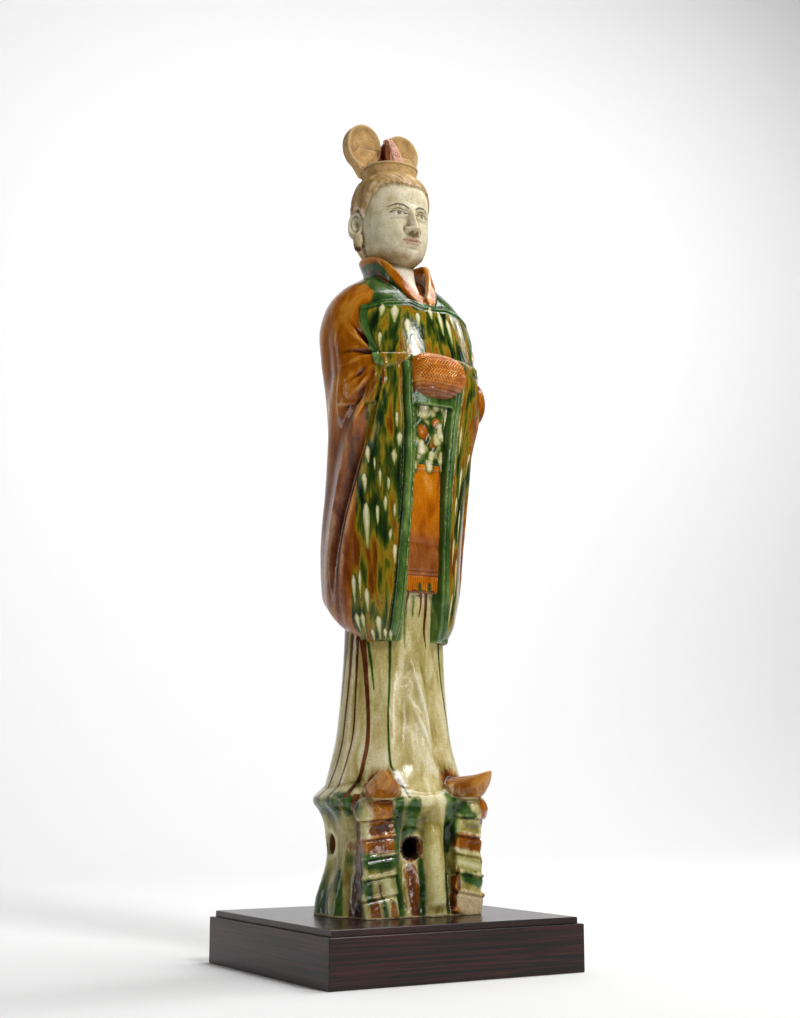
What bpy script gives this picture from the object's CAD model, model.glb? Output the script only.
import math

import bmesh
import bpy
import numpy as np
from mathutils import Matrix, Vector


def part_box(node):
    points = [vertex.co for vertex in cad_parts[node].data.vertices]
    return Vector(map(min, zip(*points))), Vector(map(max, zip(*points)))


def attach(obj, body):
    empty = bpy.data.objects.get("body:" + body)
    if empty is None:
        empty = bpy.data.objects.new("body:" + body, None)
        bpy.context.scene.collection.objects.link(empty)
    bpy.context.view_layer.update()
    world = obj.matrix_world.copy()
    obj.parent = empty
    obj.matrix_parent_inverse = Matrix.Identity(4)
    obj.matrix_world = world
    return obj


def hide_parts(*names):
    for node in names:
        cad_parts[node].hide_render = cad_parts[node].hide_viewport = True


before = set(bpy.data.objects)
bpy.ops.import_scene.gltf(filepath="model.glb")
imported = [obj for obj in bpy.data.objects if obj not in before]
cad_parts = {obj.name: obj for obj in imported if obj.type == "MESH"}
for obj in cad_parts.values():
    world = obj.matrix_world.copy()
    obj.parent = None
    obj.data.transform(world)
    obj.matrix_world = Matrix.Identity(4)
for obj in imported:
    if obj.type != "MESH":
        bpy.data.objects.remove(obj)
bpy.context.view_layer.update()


# The stand's four side boards. Each is an 18 mm board with rosewood veneer, the grain running along
# it, mitred to its neighbours at the corners and rubbed to a soft polish.


def hex_colour(text):
    """An sRGB hex colour as linear red, green, blue and alpha."""
    parts = [int(text[i : i + 2], 16) / 255 for i in (1, 3, 5)]
    return (*(c / 12.92 if c <= 0.04045 else ((c + 0.055) / 1.055) ** 2.4 for c in parts), 1.0)


def add_node(material, kind, inputs=None, **settings):
    """Adds a node. Each input is a value, or a socket to link from."""
    made = material.node_tree.nodes.new(kind)
    for name, value in settings.items():
        setattr(made, name, value)
    for name, value in (inputs or {}).items():
        if isinstance(value, bpy.types.NodeSocket):
            material.node_tree.links.new(value, made.inputs[name])
        else:
            made.inputs[name].default_value = value
    return made


def new_material(name, **settings):
    """A material, its Principled BSDF, and where the surface is in mm."""
    made = bpy.data.materials.new(name)
    made.use_nodes = True
    shader = made.node_tree.nodes["Principled BSDF"]
    for socket, value in settings.items():
        shader.inputs[socket.replace("_", " ")].default_value = value
    place = add_node(made, "ShaderNodeTexCoord").outputs["Object"]
    mm = add_node(made, "ShaderNodeMapping", {"Vector": place, "Scale": (1000, 1000, 1000)})
    return made, shader, mm.outputs["Vector"]


def noise_at(material, mm, sizes, detail=3.0, roughness=0.55, distortion=0.0):
    """Noise whose grains are of the given sizes in mm along X, Y and Z."""
    scale = tuple(1 / s for s in sizes)
    mapped = add_node(material, "ShaderNodeMapping", {"Vector": mm, "Scale": scale})
    inputs = {"Vector": mapped.outputs["Vector"], "Scale": 1.0, "Detail": detail}
    inputs.update({"Roughness": roughness, "Distortion": distortion})
    return add_node(material, "ShaderNodeTexNoise", inputs).outputs["Fac"]


def ramp(material, factor, stops):
    """Colours along a factor, as stops of (place, hex colour)."""
    made = add_node(material, "ShaderNodeValToRGB", {"Fac": factor})
    elements = made.color_ramp.elements
    while len(elements) < len(stops):
        elements.new(0.5)
    for element, (place, colour) in zip(elements, stops):
        element.position = place
        element.color = hex_colour(colour)
    return made.outputs["Color"]


def number(material, operation, *values, clamp=False):
    """Arithmetic on values and sockets."""
    inputs = dict(enumerate(values))
    return add_node(material, "ShaderNodeMath", inputs, operation=operation, use_clamp=clamp).outputs[0]


def blend_colours(material, factor, low, high, mode="MIX"):
    """Low where the factor is 0, high where it is 1."""
    made = add_node(material, "ShaderNodeMix", data_type="RGBA", blend_type=mode)
    for socket, value in ((0, factor), (6, low), (7, high)):
        if isinstance(value, bpy.types.NodeSocket):
            material.node_tree.links.new(value, made.inputs[socket])
        else:
            made.inputs[socket].default_value = value
    return made.outputs[2]


def set_bump(material, shader, height, distance, strength=1.0):
    """Fine relief, its height factor worth the given distance in metres."""
    inputs = {"Height": height, "Distance": distance, "Strength": strength}
    bump = add_node(material, "ShaderNodeBump", inputs)
    material.node_tree.links.new(bump.outputs["Normal"], shader.inputs["Normal"])


def rosewood_veneer(name, grain, roughness):
    """Rosewood veneer under polish: near-black heartwood with red-brown streaks along the grain.

    Real streaks are 1 to 4 mm wide and run for a hand's length.
    """
    made, shader, mm = new_material(name, Roughness=roughness, IOR=1.42)
    long, wide, fine = 260.0, 5.0, 1.2
    sizes = [tuple(long if axis in grain else width for axis in "XYZ") for width in (wide, fine)]
    streak = noise_at(made, mm, sizes[0], detail=4, distortion=0.6)
    pore = noise_at(made, mm, sizes[1], detail=2, roughness=0.7)
    browns = [(0.30, "#150e0e"), (0.47, "#221514"), (0.56, "#45201b"), (0.70, "#1d1211")]
    heartwood = ramp(made, streak, browns)
    dark_pores = ramp(made, pore, [(0.35, "#8c8482"), (0.62, "#ffffff")])
    colour = blend_colours(made, 0.75, heartwood, dark_pores, "MULTIPLY")
    made.node_tree.links.new(colour, shader.inputs["Base Color"])
    inputs = {"Value": pore, "To Min": roughness + 0.09, "To Max": roughness - 0.03}
    rough = add_node(made, "ShaderNodeMapRange", inputs)
    made.node_tree.links.new(rough.outputs["Result"], shader.inputs["Roughness"])
    set_bump(made, shader, pore, 0.00005, 0.6)
    return made


def refinish(node, material):
    """Gives a CAD node its real finish."""
    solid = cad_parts[node]
    solid.data.materials.clear()
    solid.data.materials.append(material)


veneer_x = rosewood_veneer("rosewood_veneer_along_x", "X", 0.30)
veneer_y = rosewood_veneer("rosewood_veneer_along_y", "Y", 0.33)
refinish("stand_front", veneer_x)
refinish("stand_back", veneer_x)
refinish("stand_left", veneer_y)
refinish("stand_right", veneer_y)


# The stand's top board, inset all round and dropped between the sides on a tongue. It is the same
# veneer, polished brighter, and mirrors the foot of the figure.

refinish("stand_top", rosewood_veneer("rosewood_veneer_polished_top", "X", 0.23))
stand_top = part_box("stand_top")[1][2]


# The rockwork base, the shoes on it and the skirt above: the lower part of one hollow figure, pressed
# in moulds and luted, in buff clay. Vents let the kiln's heat in. The glaze was brushed on and ran.

PART = 0.001
FIGURE_PLACE = Vector((0.008, 0, stand_top + 0.0003))
BELOW_FOOT = 12.0
# The sections of a mass, from below: height, middle, half width, front and back, in parts.
SKIRT = [
    (150, 9, 103, -80, 88),
    (160, 9, 102, -79, 88),
    (170, 9, 99, -74, 86),
    (182, 9, 96, -68, 82),
    (200, 10, 91, -62, 79),
    (232, 12, 83, -56, 74),
    (287, 11, 77, -51, 69),
    (347, 10, 73, -50, 66),
    (400, 9, 72, -54, 66),
    (430, 9, 75, -59, 72),
    (462, 8, 77, -64, 78),
]
ROCK = [
    (-BELOW_FOOT, 6, 110, -76, 92),
    (0, 6, 110, -76, 92),
    (18, 6, 107, -75, 90),
    (44, 6, 100, -72, 84),
    (75, 6, 95, -70, 79),
    (100, 6, 95, -70, 79),
    (124, 6, 99, -74, 82),
    (138, 6, 106, -81, 89),
    (146, 6, 112, -86, 95),
    (154, 6, 112, -85, 95),
    (162, 6, 105, -78, 90),
    (176, 6, 90, -62, 76),
]
BUTTRESS = [
    (-BELOW_FOOT, -58, 30, -84, -20),
    (60, -58, 25, -80, -20),
    (115, -58, 23, -80, -20),
    (144, -58, 32, -86, -20),
]
# The slabs stacked under each foot: width, depth, thickness and height.
SLABS = [(50, 36, 36, 16), (49, 34, 30, 42), (48, 35, 28, 67), (47, 34, 26, 91), (48, 35, 26, 115)]
SLAB_LEAN = {-1: 8, 1: 17}
# A shoe's sections, from the heel out: distance, height, half width and half thickness.
SHOE = [
    (-20, 164, 20, 13),
    (0, 165, 23, 15),
    (25, 166, 24, 16),
    (46, 168, 22, 17),
    (62, 172, 15, 17),
    (70, 178, 7, 12),
]
SHOE_ROOTS = {-1: (-54, -50), 1: (45, -47)}
FOOT_TURN = math.radians(28)
# How far one degree goes round the skirt, in mm.
SKIRT_DEGREE = 1.72


def curve_at(table, heights):
    """The table's rows at these heights, along smooth curves through its rows."""
    rows = np.array(table, float)
    z, values = rows[:, 0], rows[:, 1:]
    slopes = np.empty_like(values)
    slopes[1:-1] = (values[2:] - values[:-2]) / (z[2:] - z[:-2])[:, None]
    slopes[0] = (values[1] - values[0]) / (z[1] - z[0])
    slopes[-1] = (values[-1] - values[-2]) / (z[-1] - z[-2])
    at = np.clip(heights, z[0], z[-1])
    i = np.clip(np.searchsorted(z, at, side="right") - 1, 0, len(z) - 2)
    span = (z[i + 1] - z[i])[..., None]
    t = ((at - z[i]) / (z[i + 1] - z[i]))[..., None]
    return (
        (2 * t**3 - 3 * t**2 + 1) * values[i]
        + (t**3 - 2 * t**2 + t) * span * slopes[i]
        + (3 * t**2 - 2 * t**3) * values[i + 1]
        + (t**3 - t**2) * span * slopes[i + 1]
    )


def ease(low, high, value):
    """0 below low, 1 above high, and a smooth rise between."""
    t = np.clip((value - low) / (high - low), 0.0, 1.0)
    return t * t * (3 - 2 * t)


def hump(away, width, power=2):
    """1 where away is 0, fading to nothing a few widths off. Higher powers have a flatter top."""
    return np.exp(-((away / width) ** power))


def section_points(rows, shape, angle, swell=0.0):
    """Points of rounded sections. The angle runs from the front towards the figure's left."""
    centre, half, front, back = (rows[..., k] for k in range(4))
    s, c = np.sin(angle), np.cos(angle)
    depth = np.where(c > 0, centre - front, back - centre)
    power = np.where(c > 0, shape[0], shape[1])
    radius = ((np.abs(s) / half) ** power + (np.abs(c) / depth) ** power) ** (-1 / power) + swell
    return radius * s, centre - radius * c


def rings_shell(rings):
    """A shell over a stack of closed rings, with flat ends, as points and faces."""
    rings = np.asarray(rings, float)
    levels, count = rings.shape[:2]
    low = np.arange((levels - 1) * count).reshape(levels - 1, count)
    right = np.roll(low, -1, axis=1)
    faces = np.stack([low, right, right + count, low + count], axis=-1).reshape(-1, 4).tolist()
    faces.append(list(range(count))[::-1])
    faces.append(list(range((levels - 1) * count, levels * count)))
    return rings.reshape(-1, 3), faces


def mass_shell(table, shape, relief=None, offset=0.0, step=2.0, around=220):
    """A rounded upright mass, with carving given as relief(angle, height)."""
    z = np.linspace(table[0][0], table[-1][0], max(3, int((table[-1][0] - table[0][0]) / step)))[:, None]
    angle = np.linspace(-math.pi, math.pi, around, endpoint=False)[None, :]
    z, angle = np.broadcast_arrays(z, angle)
    swell = relief(angle, z) if relief else 0.0
    x, y = section_points(curve_at(table, z), shape, angle, swell)
    return rings_shell(np.stack([x + offset, y, z], axis=-1))


def block_shell(centre, size, turn, taper=1.0):
    """A block of three full sizes, whose upper end is scaled by the taper."""
    corners = []
    for up in (-0.5, 0.5):
        across = taper if up > 0 else 1.0
        for a, b in ((-0.5, -0.5), (0.5, -0.5), (0.5, 0.5), (-0.5, 0.5)):
            corner = turn @ Vector((a * size[0] * across, b * size[1] * across, up * size[2]))
            corners.append(corner + Vector(centre))
    faces = [[3, 2, 1, 0], [4, 5, 6, 7]] + [[i, (i + 1) % 4, (i + 1) % 4 + 4, i + 4] for i in range(4)]
    return np.array(corners), faces


def ball_shell(centre, size, turn=None):
    """A ball stretched to three half sizes."""
    up = np.linspace(-1, 1, 40)[:, None] * (math.pi / 2 - 0.03)
    angle = np.linspace(0, 2 * math.pi, 56, endpoint=False)[None, :]
    round_points = [np.cos(up) * np.cos(angle), np.cos(up) * np.sin(angle), np.sin(up) + 0 * angle]
    points = np.stack(round_points, axis=-1) * np.array(size)
    if turn is not None:
        points = points @ np.array(turn.to_3x3()).T
    return rings_shell(points + np.array(centre))


def turn_about(axis, degrees):
    """A turn about one of the axes."""
    return Matrix.Rotation(math.radians(degrees), 4, axis)


def lute(name, shells, grain, smoothing=2):
    """Joins shells of clay, given in parts, into one skin with grains of this size in mm."""
    points, faces, first = [], [], 0
    for shell_points, shell_faces in shells:
        points.append(shell_points)
        faces += [[i + first for i in face] for face in shell_faces]
        first += len(shell_points)
    mesh = bpy.data.meshes.new(name)
    mesh.from_pydata((np.concatenate(points) * PART + np.array(FIGURE_PLACE)).tolist(), [], faces)
    piece = bpy.data.objects.new(name, mesh)
    bpy.context.scene.collection.objects.link(piece)
    joined = piece.modifiers.new("luted", "REMESH")
    joined.mode = "VOXEL"
    joined.voxel_size = grain / 1000
    smoothed = piece.modifiers.new("smoothed", "SMOOTH")
    smoothed.factor = 0.5
    smoothed.iterations = smoothing
    return apply_modifiers(piece)


def apply_modifiers(piece):
    """Makes what the modifiers do the piece's own form."""
    graph = bpy.context.evaluated_depsgraph_get()
    piece.data = bpy.data.meshes.new_from_object(piece.evaluated_get(graph))
    piece.modifiers.clear()
    return piece


def points_of(piece):
    """Where the clay is, in parts from the middle of the foot."""
    points = np.empty(len(piece.data.vertices) * 3, np.float32)
    piece.data.vertices.foreach_get("co", points)
    return (points.reshape(-1, 3).astype(float) - np.array(FIGURE_PLACE)) / PART


def normals_of(piece):
    """Which way the clay faces at each point."""
    normals = np.empty(len(piece.data.vertices) * 3, np.float32)
    piece.data.vertex_normals.foreach_get("vector", normals)
    return normals.reshape(-1, 3).astype(float)


def put_points(piece, points):
    """Moves the clay's points to these places, given in parts."""
    world = points * PART + np.array(FIGURE_PLACE)
    piece.data.vertices.foreach_set("co", world.astype(np.float32).ravel())
    piece.data.update()


def raise_clay(piece, lift):
    """Moves each point outwards by its own lift, or inwards where that is below 0."""
    put_points(piece, points_of(piece) + normals_of(piece) * lift[:, None])


def path_distance(points, path):
    """How far each point is from a path, and the share of the path where it is nearest."""
    path = np.array(path, float)
    nearest = np.full(len(points), 1e9)
    share = np.zeros(len(points))
    last = len(path) - 1
    for k in range(last):
        start, along = path[k], path[k + 1] - path[k]
        t = np.clip((points - start) @ along / max(along @ along, 1e-9), 0, 1)
        far = np.linalg.norm(points - start - t[:, None] * along, axis=1)
        closer = far < nearest
        nearest[closer] = far[closer]
        share[closer] = (k + t[closer]) / last
    return nearest, share


def model_by_hand(piece, strokes, view=(1, 1, 1)):
    """Raises or presses the clay along paths. Each stroke: path, width, height, fade at start, at end.

    A view under 1 along an axis lets a stroke reach clay that is nearer or farther along that axis.
    """
    points = points_of(piece)
    lift = np.zeros(len(points))
    for path, width, height, fade_in, fade_out in strokes:
        far, share = path_distance(points * view, np.array(path) * view)
        fade = ease(0, fade_in, share) if fade_in else 1.0
        fade = fade * (1 - ease(1 - fade_out, 1, share)) if fade_out else fade
        lift += height * fade * hump(far, width)
    raise_clay(piece, lift)


def smoothed_field(piece, values, rounds):
    """Averages values over neighbouring points."""
    edges = np.empty(len(piece.data.edges) * 2, np.int32)
    piece.data.edges.foreach_get("vertices", edges)
    edges = edges.reshape(-1, 2)
    count = len(piece.data.vertices)
    ends = np.bincount(edges.ravel(), minlength=count).astype(float)
    ends[ends == 0] = 1
    for _ in range(rounds):
        total = np.empty_like(values)
        for k in range(values.shape[1]):
            total[:, k] = np.bincount(edges[:, 0], values[edges[:, 1], k], count)
            total[:, k] += np.bincount(edges[:, 1], values[edges[:, 0], k], count)
        values = 0.5 * values + 0.5 * total / ends[:, None]
    return values


def store(piece, name, values):
    """Keeps a number at each point of the clay, for the material to read."""
    field = piece.data.attributes.new(name, "FLOAT", "POINT")
    field.data.foreach_set("value", np.asarray(values, np.float32))


def stored(material, name):
    """A number that was kept at each point of the clay."""
    return add_node(material, "ShaderNodeAttribute", attribute_name=name).outputs["Fac"]


def between(material, value, low, high, kind="SMOOTHSTEP"):
    """0 where the value is below low, 1 where it is above high."""
    inputs = {"Value": value, "From Min": low, "From Max": high}
    return add_node(material, "ShaderNodeMapRange", inputs, interpolation_type=kind).outputs["Result"]


def stir(material, value, noise, share):
    """Moves a value up and down with noise, over this share of the noise's range."""
    return number(material, "MULTIPLY_ADD", number(material, "SUBTRACT", noise, 0.5), share, value)


def glaze_fields(piece, **fields):
    """Keeps how much of each glaze lies at each point. A glaze that isn't given lies nowhere."""
    for name in ("amber", "green", "brown", "panel", "cream", "bare", "burnt"):
        store(piece, name, np.broadcast_to(fields.get(name, 0.0), len(piece.data.vertices)))


def store_ridges(piece, rounds=6):
    """Keeps how far each point stands out of (or sinks below) the form around it, in mm."""
    points, normals = points_of(piece), normals_of(piece)
    close = smoothed_field(piece, points, rounds)
    out = ((points - close) * normals).sum(axis=1)
    out += 0.35 * ((close - smoothed_field(piece, close, 60)) * normals).sum(axis=1)
    store(piece, "ridge", smoothed_field(piece, out[:, None], 2)[:, 0])


def thin_out(piece, triangles):
    """Keeps about this many triangles, most of them where the form is fine."""
    piece.data.calc_loop_triangles()
    share = triangles / len(piece.data.loop_triangles)
    if share < 1:
        thinned = piece.modifiers.new("thinned", "DECIMATE")
        thinned.ratio = share
        apply_modifiers(piece)


def brushed(points, strokes, view=(1, 1, 1)):
    """Where a brush laid glaze: 1 in the middle of a stroke, 0.5 at its edge. Strokes: path, half widths."""
    field = np.zeros(len(points))
    for path, widths in strokes:
        far, share = path_distance(points * view, np.array(path) * view)
        width = np.interp(share, np.linspace(0, 1, len(widths)), widths)
        field = np.maximum(field, 1 - 0.5 * far / np.maximum(width, 0.1))
    return np.clip(field, 0, 1)


def angle_round(x, y):
    """How far round the figure a place is, in degrees from the front towards its left."""
    return np.degrees(np.arctan2(x, -y))


def unroll(points):
    """The points on the figure's skin rolled out flat: how far round it, and how high."""
    x, y, z = np.transpose(points)
    return np.stack([angle_round(x, y) * SKIRT_DEGREE, 0 * z, z], axis=1)


def as_it_ran(strokes):
    """The strokes with their paths drawn as smooth curves."""
    smooth = []
    for path, widths in strokes:
        table = [(i, *place) for i, place in enumerate(path)]
        smooth.append((curve_at(table, np.linspace(0, len(path) - 1, 3 * len(path))), widths))
    return smooth


def stand_in(piece, material):
    """The piece takes the place of the plain figure, and moves with it."""
    piece.data.materials.clear()
    piece.data.materials.append(material)
    piece.data.shade_smooth()
    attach(piece, "root")
    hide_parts("figure")


def rock_relief(angle, z):
    """Upright flutes that spread and deepen towards the foot and die out at the rim and in front."""
    fade = (1 - ease(118, 146, z)) * ease(30, 62, np.abs(np.degrees(angle)))
    wander = 0.22 * np.sin(z / 23.0) + 0.5 * np.sin(2 * angle)
    return 3.0 * fade * np.sin(17 * angle + wander * 3) * (0.6 + 0.4 * np.cos(z / 30))


def skirt_relief(angle, z):
    """Soft folds that open out as they fall."""
    folds = [(4, 3.4, 8, 372), (-14, -2.6, 9, 350), (22, -2.8, 9, 340)]
    folds += [(-34, 2.0, 12, 330), (46, 2.0, 12, 330)]
    total = 0.0
    for place, depth, width, start in folds:
        opening = (1 - ease(start - 90, start, z)) * ease(176, 205, z)
        off = np.degrees(angle) - place - (380 - z) * 0.03 * (1 if place > 0 else -1)
        total = total + depth * opening * hump(off, width)
    return total


def shoe_shell(side):
    """A shoe with a high cut-off toe that leans out over its sole."""
    out = np.array((side * math.sin(FOOT_TURN), -math.cos(FOOT_TURN), 0))
    across = np.array((out[1], -out[0], 0))
    root = np.array((*SHOE_ROOTS[side], 0))
    way = np.linspace(SHOE[0][0], SHOE[-1][0], 44)
    rows = curve_at(SHOE, way)
    a = np.linspace(0, 2 * math.pi, 48, endpoint=False)
    rings = []
    for s, (z, half, rise) in zip(way, rows):
        height = rise * np.sign(np.sin(a)) * np.abs(np.sin(a)) ** 0.8
        width = half * np.sign(np.cos(a)) * np.abs(np.cos(a)) ** 0.8 * (1 - 0.3 * ease(0, 1, height / rise))
        lean = 0.35 * height * ease(30, 50, s)
        ring = root + np.outer(s + lean, out) + np.outer(width, across)
        ring[:, 2] += z + height
        rings.append(ring)
    return rings_shell(rings)


def cut_away(piece, cutter_shells):
    """Cuts shells out of the clay."""
    for points, faces in cutter_shells:
        mesh = bpy.data.meshes.new("cutter")
        mesh.from_pydata((np.asarray(points) * PART + np.array(FIGURE_PLACE)).tolist(), [], faces)
        shape = bmesh.new()
        shape.from_mesh(mesh)
        bmesh.ops.recalc_face_normals(shape, faces=shape.faces)
        shape.to_mesh(mesh)
        shape.free()
        cutter = bpy.data.objects.new("cutter", mesh)
        bpy.context.scene.collection.objects.link(cutter)
        cut = piece.modifiers.new("cut", "BOOLEAN")
        cut.operation = "DIFFERENCE"
        cut.solver = "FAST"
        cut.object = cutter
        apply_modifiers(piece)
        bpy.data.objects.remove(cutter)


lower_shells = [
    mass_shell(ROCK, (2.7, 2.5), rock_relief, around=320),
    mass_shell(BUTTRESS, (2.0, 2.0), offset=13, around=90),
    mass_shell(SKIRT, (2.0, 2.1), skirt_relief, around=260),
]
for side in (-1, 1):
    for width, depth, tall, z in SLABS:
        turn = turn_about("Z", side * 9) @ turn_about("Y", side * SLAB_LEAN[side])
        lower_shells.append(block_shell((side * 66, -59, z), (width, depth, tall), turn, 0.94))
    lower_shells.append(block_shell((side * 65, -58, 66), (44, 30, 140), turn_about("Z", side * 9)))
    pad = (31, 29, 24) if side > 0 else (27, 27, 21)
    lower_shells.append(ball_shell((side * 73 - 1, -62, 138), pad, turn_about("Z", side * 28)))
    lower_shells.append(shoe_shell(side))
lower = lute("rockwork_and_skirt", lower_shells, 1.4, 3)


def rough_out(points, size, seed):
    """Uneven lumps of about this size in mm, from -1 to 1."""
    random = np.random.default_rng(seed)
    total = np.zeros(len(points))
    for _ in range(9):
        way = random.normal(size=3)
        way *= 2 * math.pi / (size * random.uniform(0.7, 1.6) * np.linalg.norm(way))
        total += np.sin(points @ way + random.uniform(0, 6.3))
    return total / 4


def soften(piece, rounds, amount):
    """Wipes the clay smooth where the amount is 1."""
    points = points_of(piece)
    wiped = smoothed_field(piece, points, rounds)
    put_points(piece, points + (wiped - points) * amount[:, None])


points = points_of(lower)
soften(lower, 14, 1 - ease(146, 158, points[:, 2]))
points = points_of(lower)
rocky = (1 - ease(138, 158, points[:, 2])) * ease(4, 12, points[:, 2])
column = ease(38, 50, np.abs(points[:, 0])) * (points[:, 1] < -30)
fine_lumps = 0.12 + 0.25 * column * ease(84, 110, points[:, 2])
lumps = 0.9 * rough_out(points, 30, 3) + fine_lumps * rough_out(points, 9, 4)
raise_clay(lower, lumps * rocky)

# The hem's incised line, and the ledges scored across the columns, which slope down outwards.
HEM = [(-104, -20, 172), (-98, -42, 173), (-87, -62, 168), (-60, -82, 160), (-29, -80, 161), (-6, -84, 158)]
HEM += [(18, -82, 160), (33, -76, 167), (45, -66, 176)]
model_by_hand(lower, [(HEM, 1.3, -1.5, 0.03, 0.03)])
lower_strokes = []
for side in (-1, 1):
    for z, drop in ((128, 5), (104, 6), (80, 8), (55, 9), (30, 10)):
        ledge = [(side * (42 + 13 * k), -84 + 1.5 * k, z - drop * k / 4) for k in range(5)]
        ledge += [(side * 97, -62, z - drop * 1.1), (side * 98, -42, z - drop * 1.0)]
        lower_strokes.append((ledge, 1.5, -2.4, 0.05, 0.1))
        lower_strokes.append(([(a, b, c + 4.0) for a, b, c in ledge], 2.6, 1.2, 0.1, 0.1))
# The rib beside the front vent, and the hollows either side of it.
lower_strokes += [
    ([(14, -78, 8), (11, -78, 60), (8, -78, 126)], 13, 4.5, 0.1, 0.15),
    ([(38, -78, 4), (37, -78, 60), (36, -78, 126)], 6, -4.0, 0.1, 0.1),
    ([(-32, -78, 4), (-33, -78, 60), (-28, -78, 120)], 8, -3.5, 0.1, 0.1),
    ([(-20, -78, 40), (-19, -78, 90), (-16, -78, 118)], 11, -3.0, 0.3, 0.1),
]
model_by_hand(lower, lower_strokes, (1, 0.15, 1))
SKIRT_FOLDS = [
    ([(-12, -56, 372), (-3, -54, 320), (10, -54, 275), (23, -56, 235), (36, -62, 194)], 3.2, 3.2, 0.2, 0.25),
    ([(-24, -54, 332), (-13, -54, 290), (0, -56, 262), (16, -58, 224), (30, -66, 194)], 2.8, 2.3, 0.25, 0.3),
    ([(2, -56, 380), (12, -54, 325), (24, -54, 285), (36, -54, 245), (46, -58, 208)], 5.0, -3.4, 0.2, 0.3),
    ([(10, -58, 396), (20, -54, 348), (34, -50, 300), (50, -46, 250), (62, -48, 208)], 4.0, 2.8, 0.25, 0.35),
    ([(-28, -54, 360), (-26, -54, 305), (-14, -58, 255), (2, -64, 212)], 5.0, -2.4, 0.25, 0.35),
    ([(-2, -58, 400), (2, -54, 372), (10, -54, 345), (20, -54, 318)], 2.6, 1.8, 0.3, 0.4),
    ([(24, -50, 372), (40, -44, 325), (56, -40, 280)], 4.0, -2.4, 0.3, 0.4),
    ([(-36, -50, 330), (-35, -52, 270), (-30, -60, 215)], 7, 1.4, 0.4, 0.3),
]
model_by_hand(lower, SKIRT_FOLDS)

# The flat foot, the hollow, and the vents that open into it.
# Each vent: which way it faces, its height, and how far it is off the middle.
VENTS = [(0, 89, -18), (-96, 93, 0), (96, 93, 0)]
ring_angles = np.linspace(0, 2 * math.pi, 32, endpoint=False)
hollow = [(math.sin(a) * 46, 6 - math.cos(a) * 38) for a in ring_angles]
well = [[(x * k, y * k, z) for x, y in hollow] for z, k in ((-30, 1), (100, 1), (124, 0.7))]
cutters = [rings_shell(well)]
for degrees, z, x in VENTS:
    a = math.radians(degrees)
    out = Vector((math.sin(a), -math.cos(a), 0))
    across = Vector((out.y, -out.x, 0))
    rings = []
    for way, radius in ((30, 11), (62, 12), (88, 13), (150, 15)):
        middle = Vector((x, 6, z)) + out * way
        ring = []
        for t in ring_angles:
            rise = Vector((0, 0, radius * 1.08 * math.sin(t)))
            ring.append(tuple(middle + across * (radius * math.cos(t)) + rise))
        rings.append(ring)
    cutters.append(rings_shell(rings))
cutters.append(block_shell((0, 0, -40), (400, 400, 80), Matrix.Identity(3)))
cut_away(lower, cutters)
thin_out(lower, 190000)
store_ridges(lower)


# The crazing's cells, in mm.
CRAZING = 4.0
AMBER = [(0.14, "#d08c30"), (0.36, "#b46703"), (0.56, "#984f00"), (0.85, "#4a1f00")]


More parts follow.
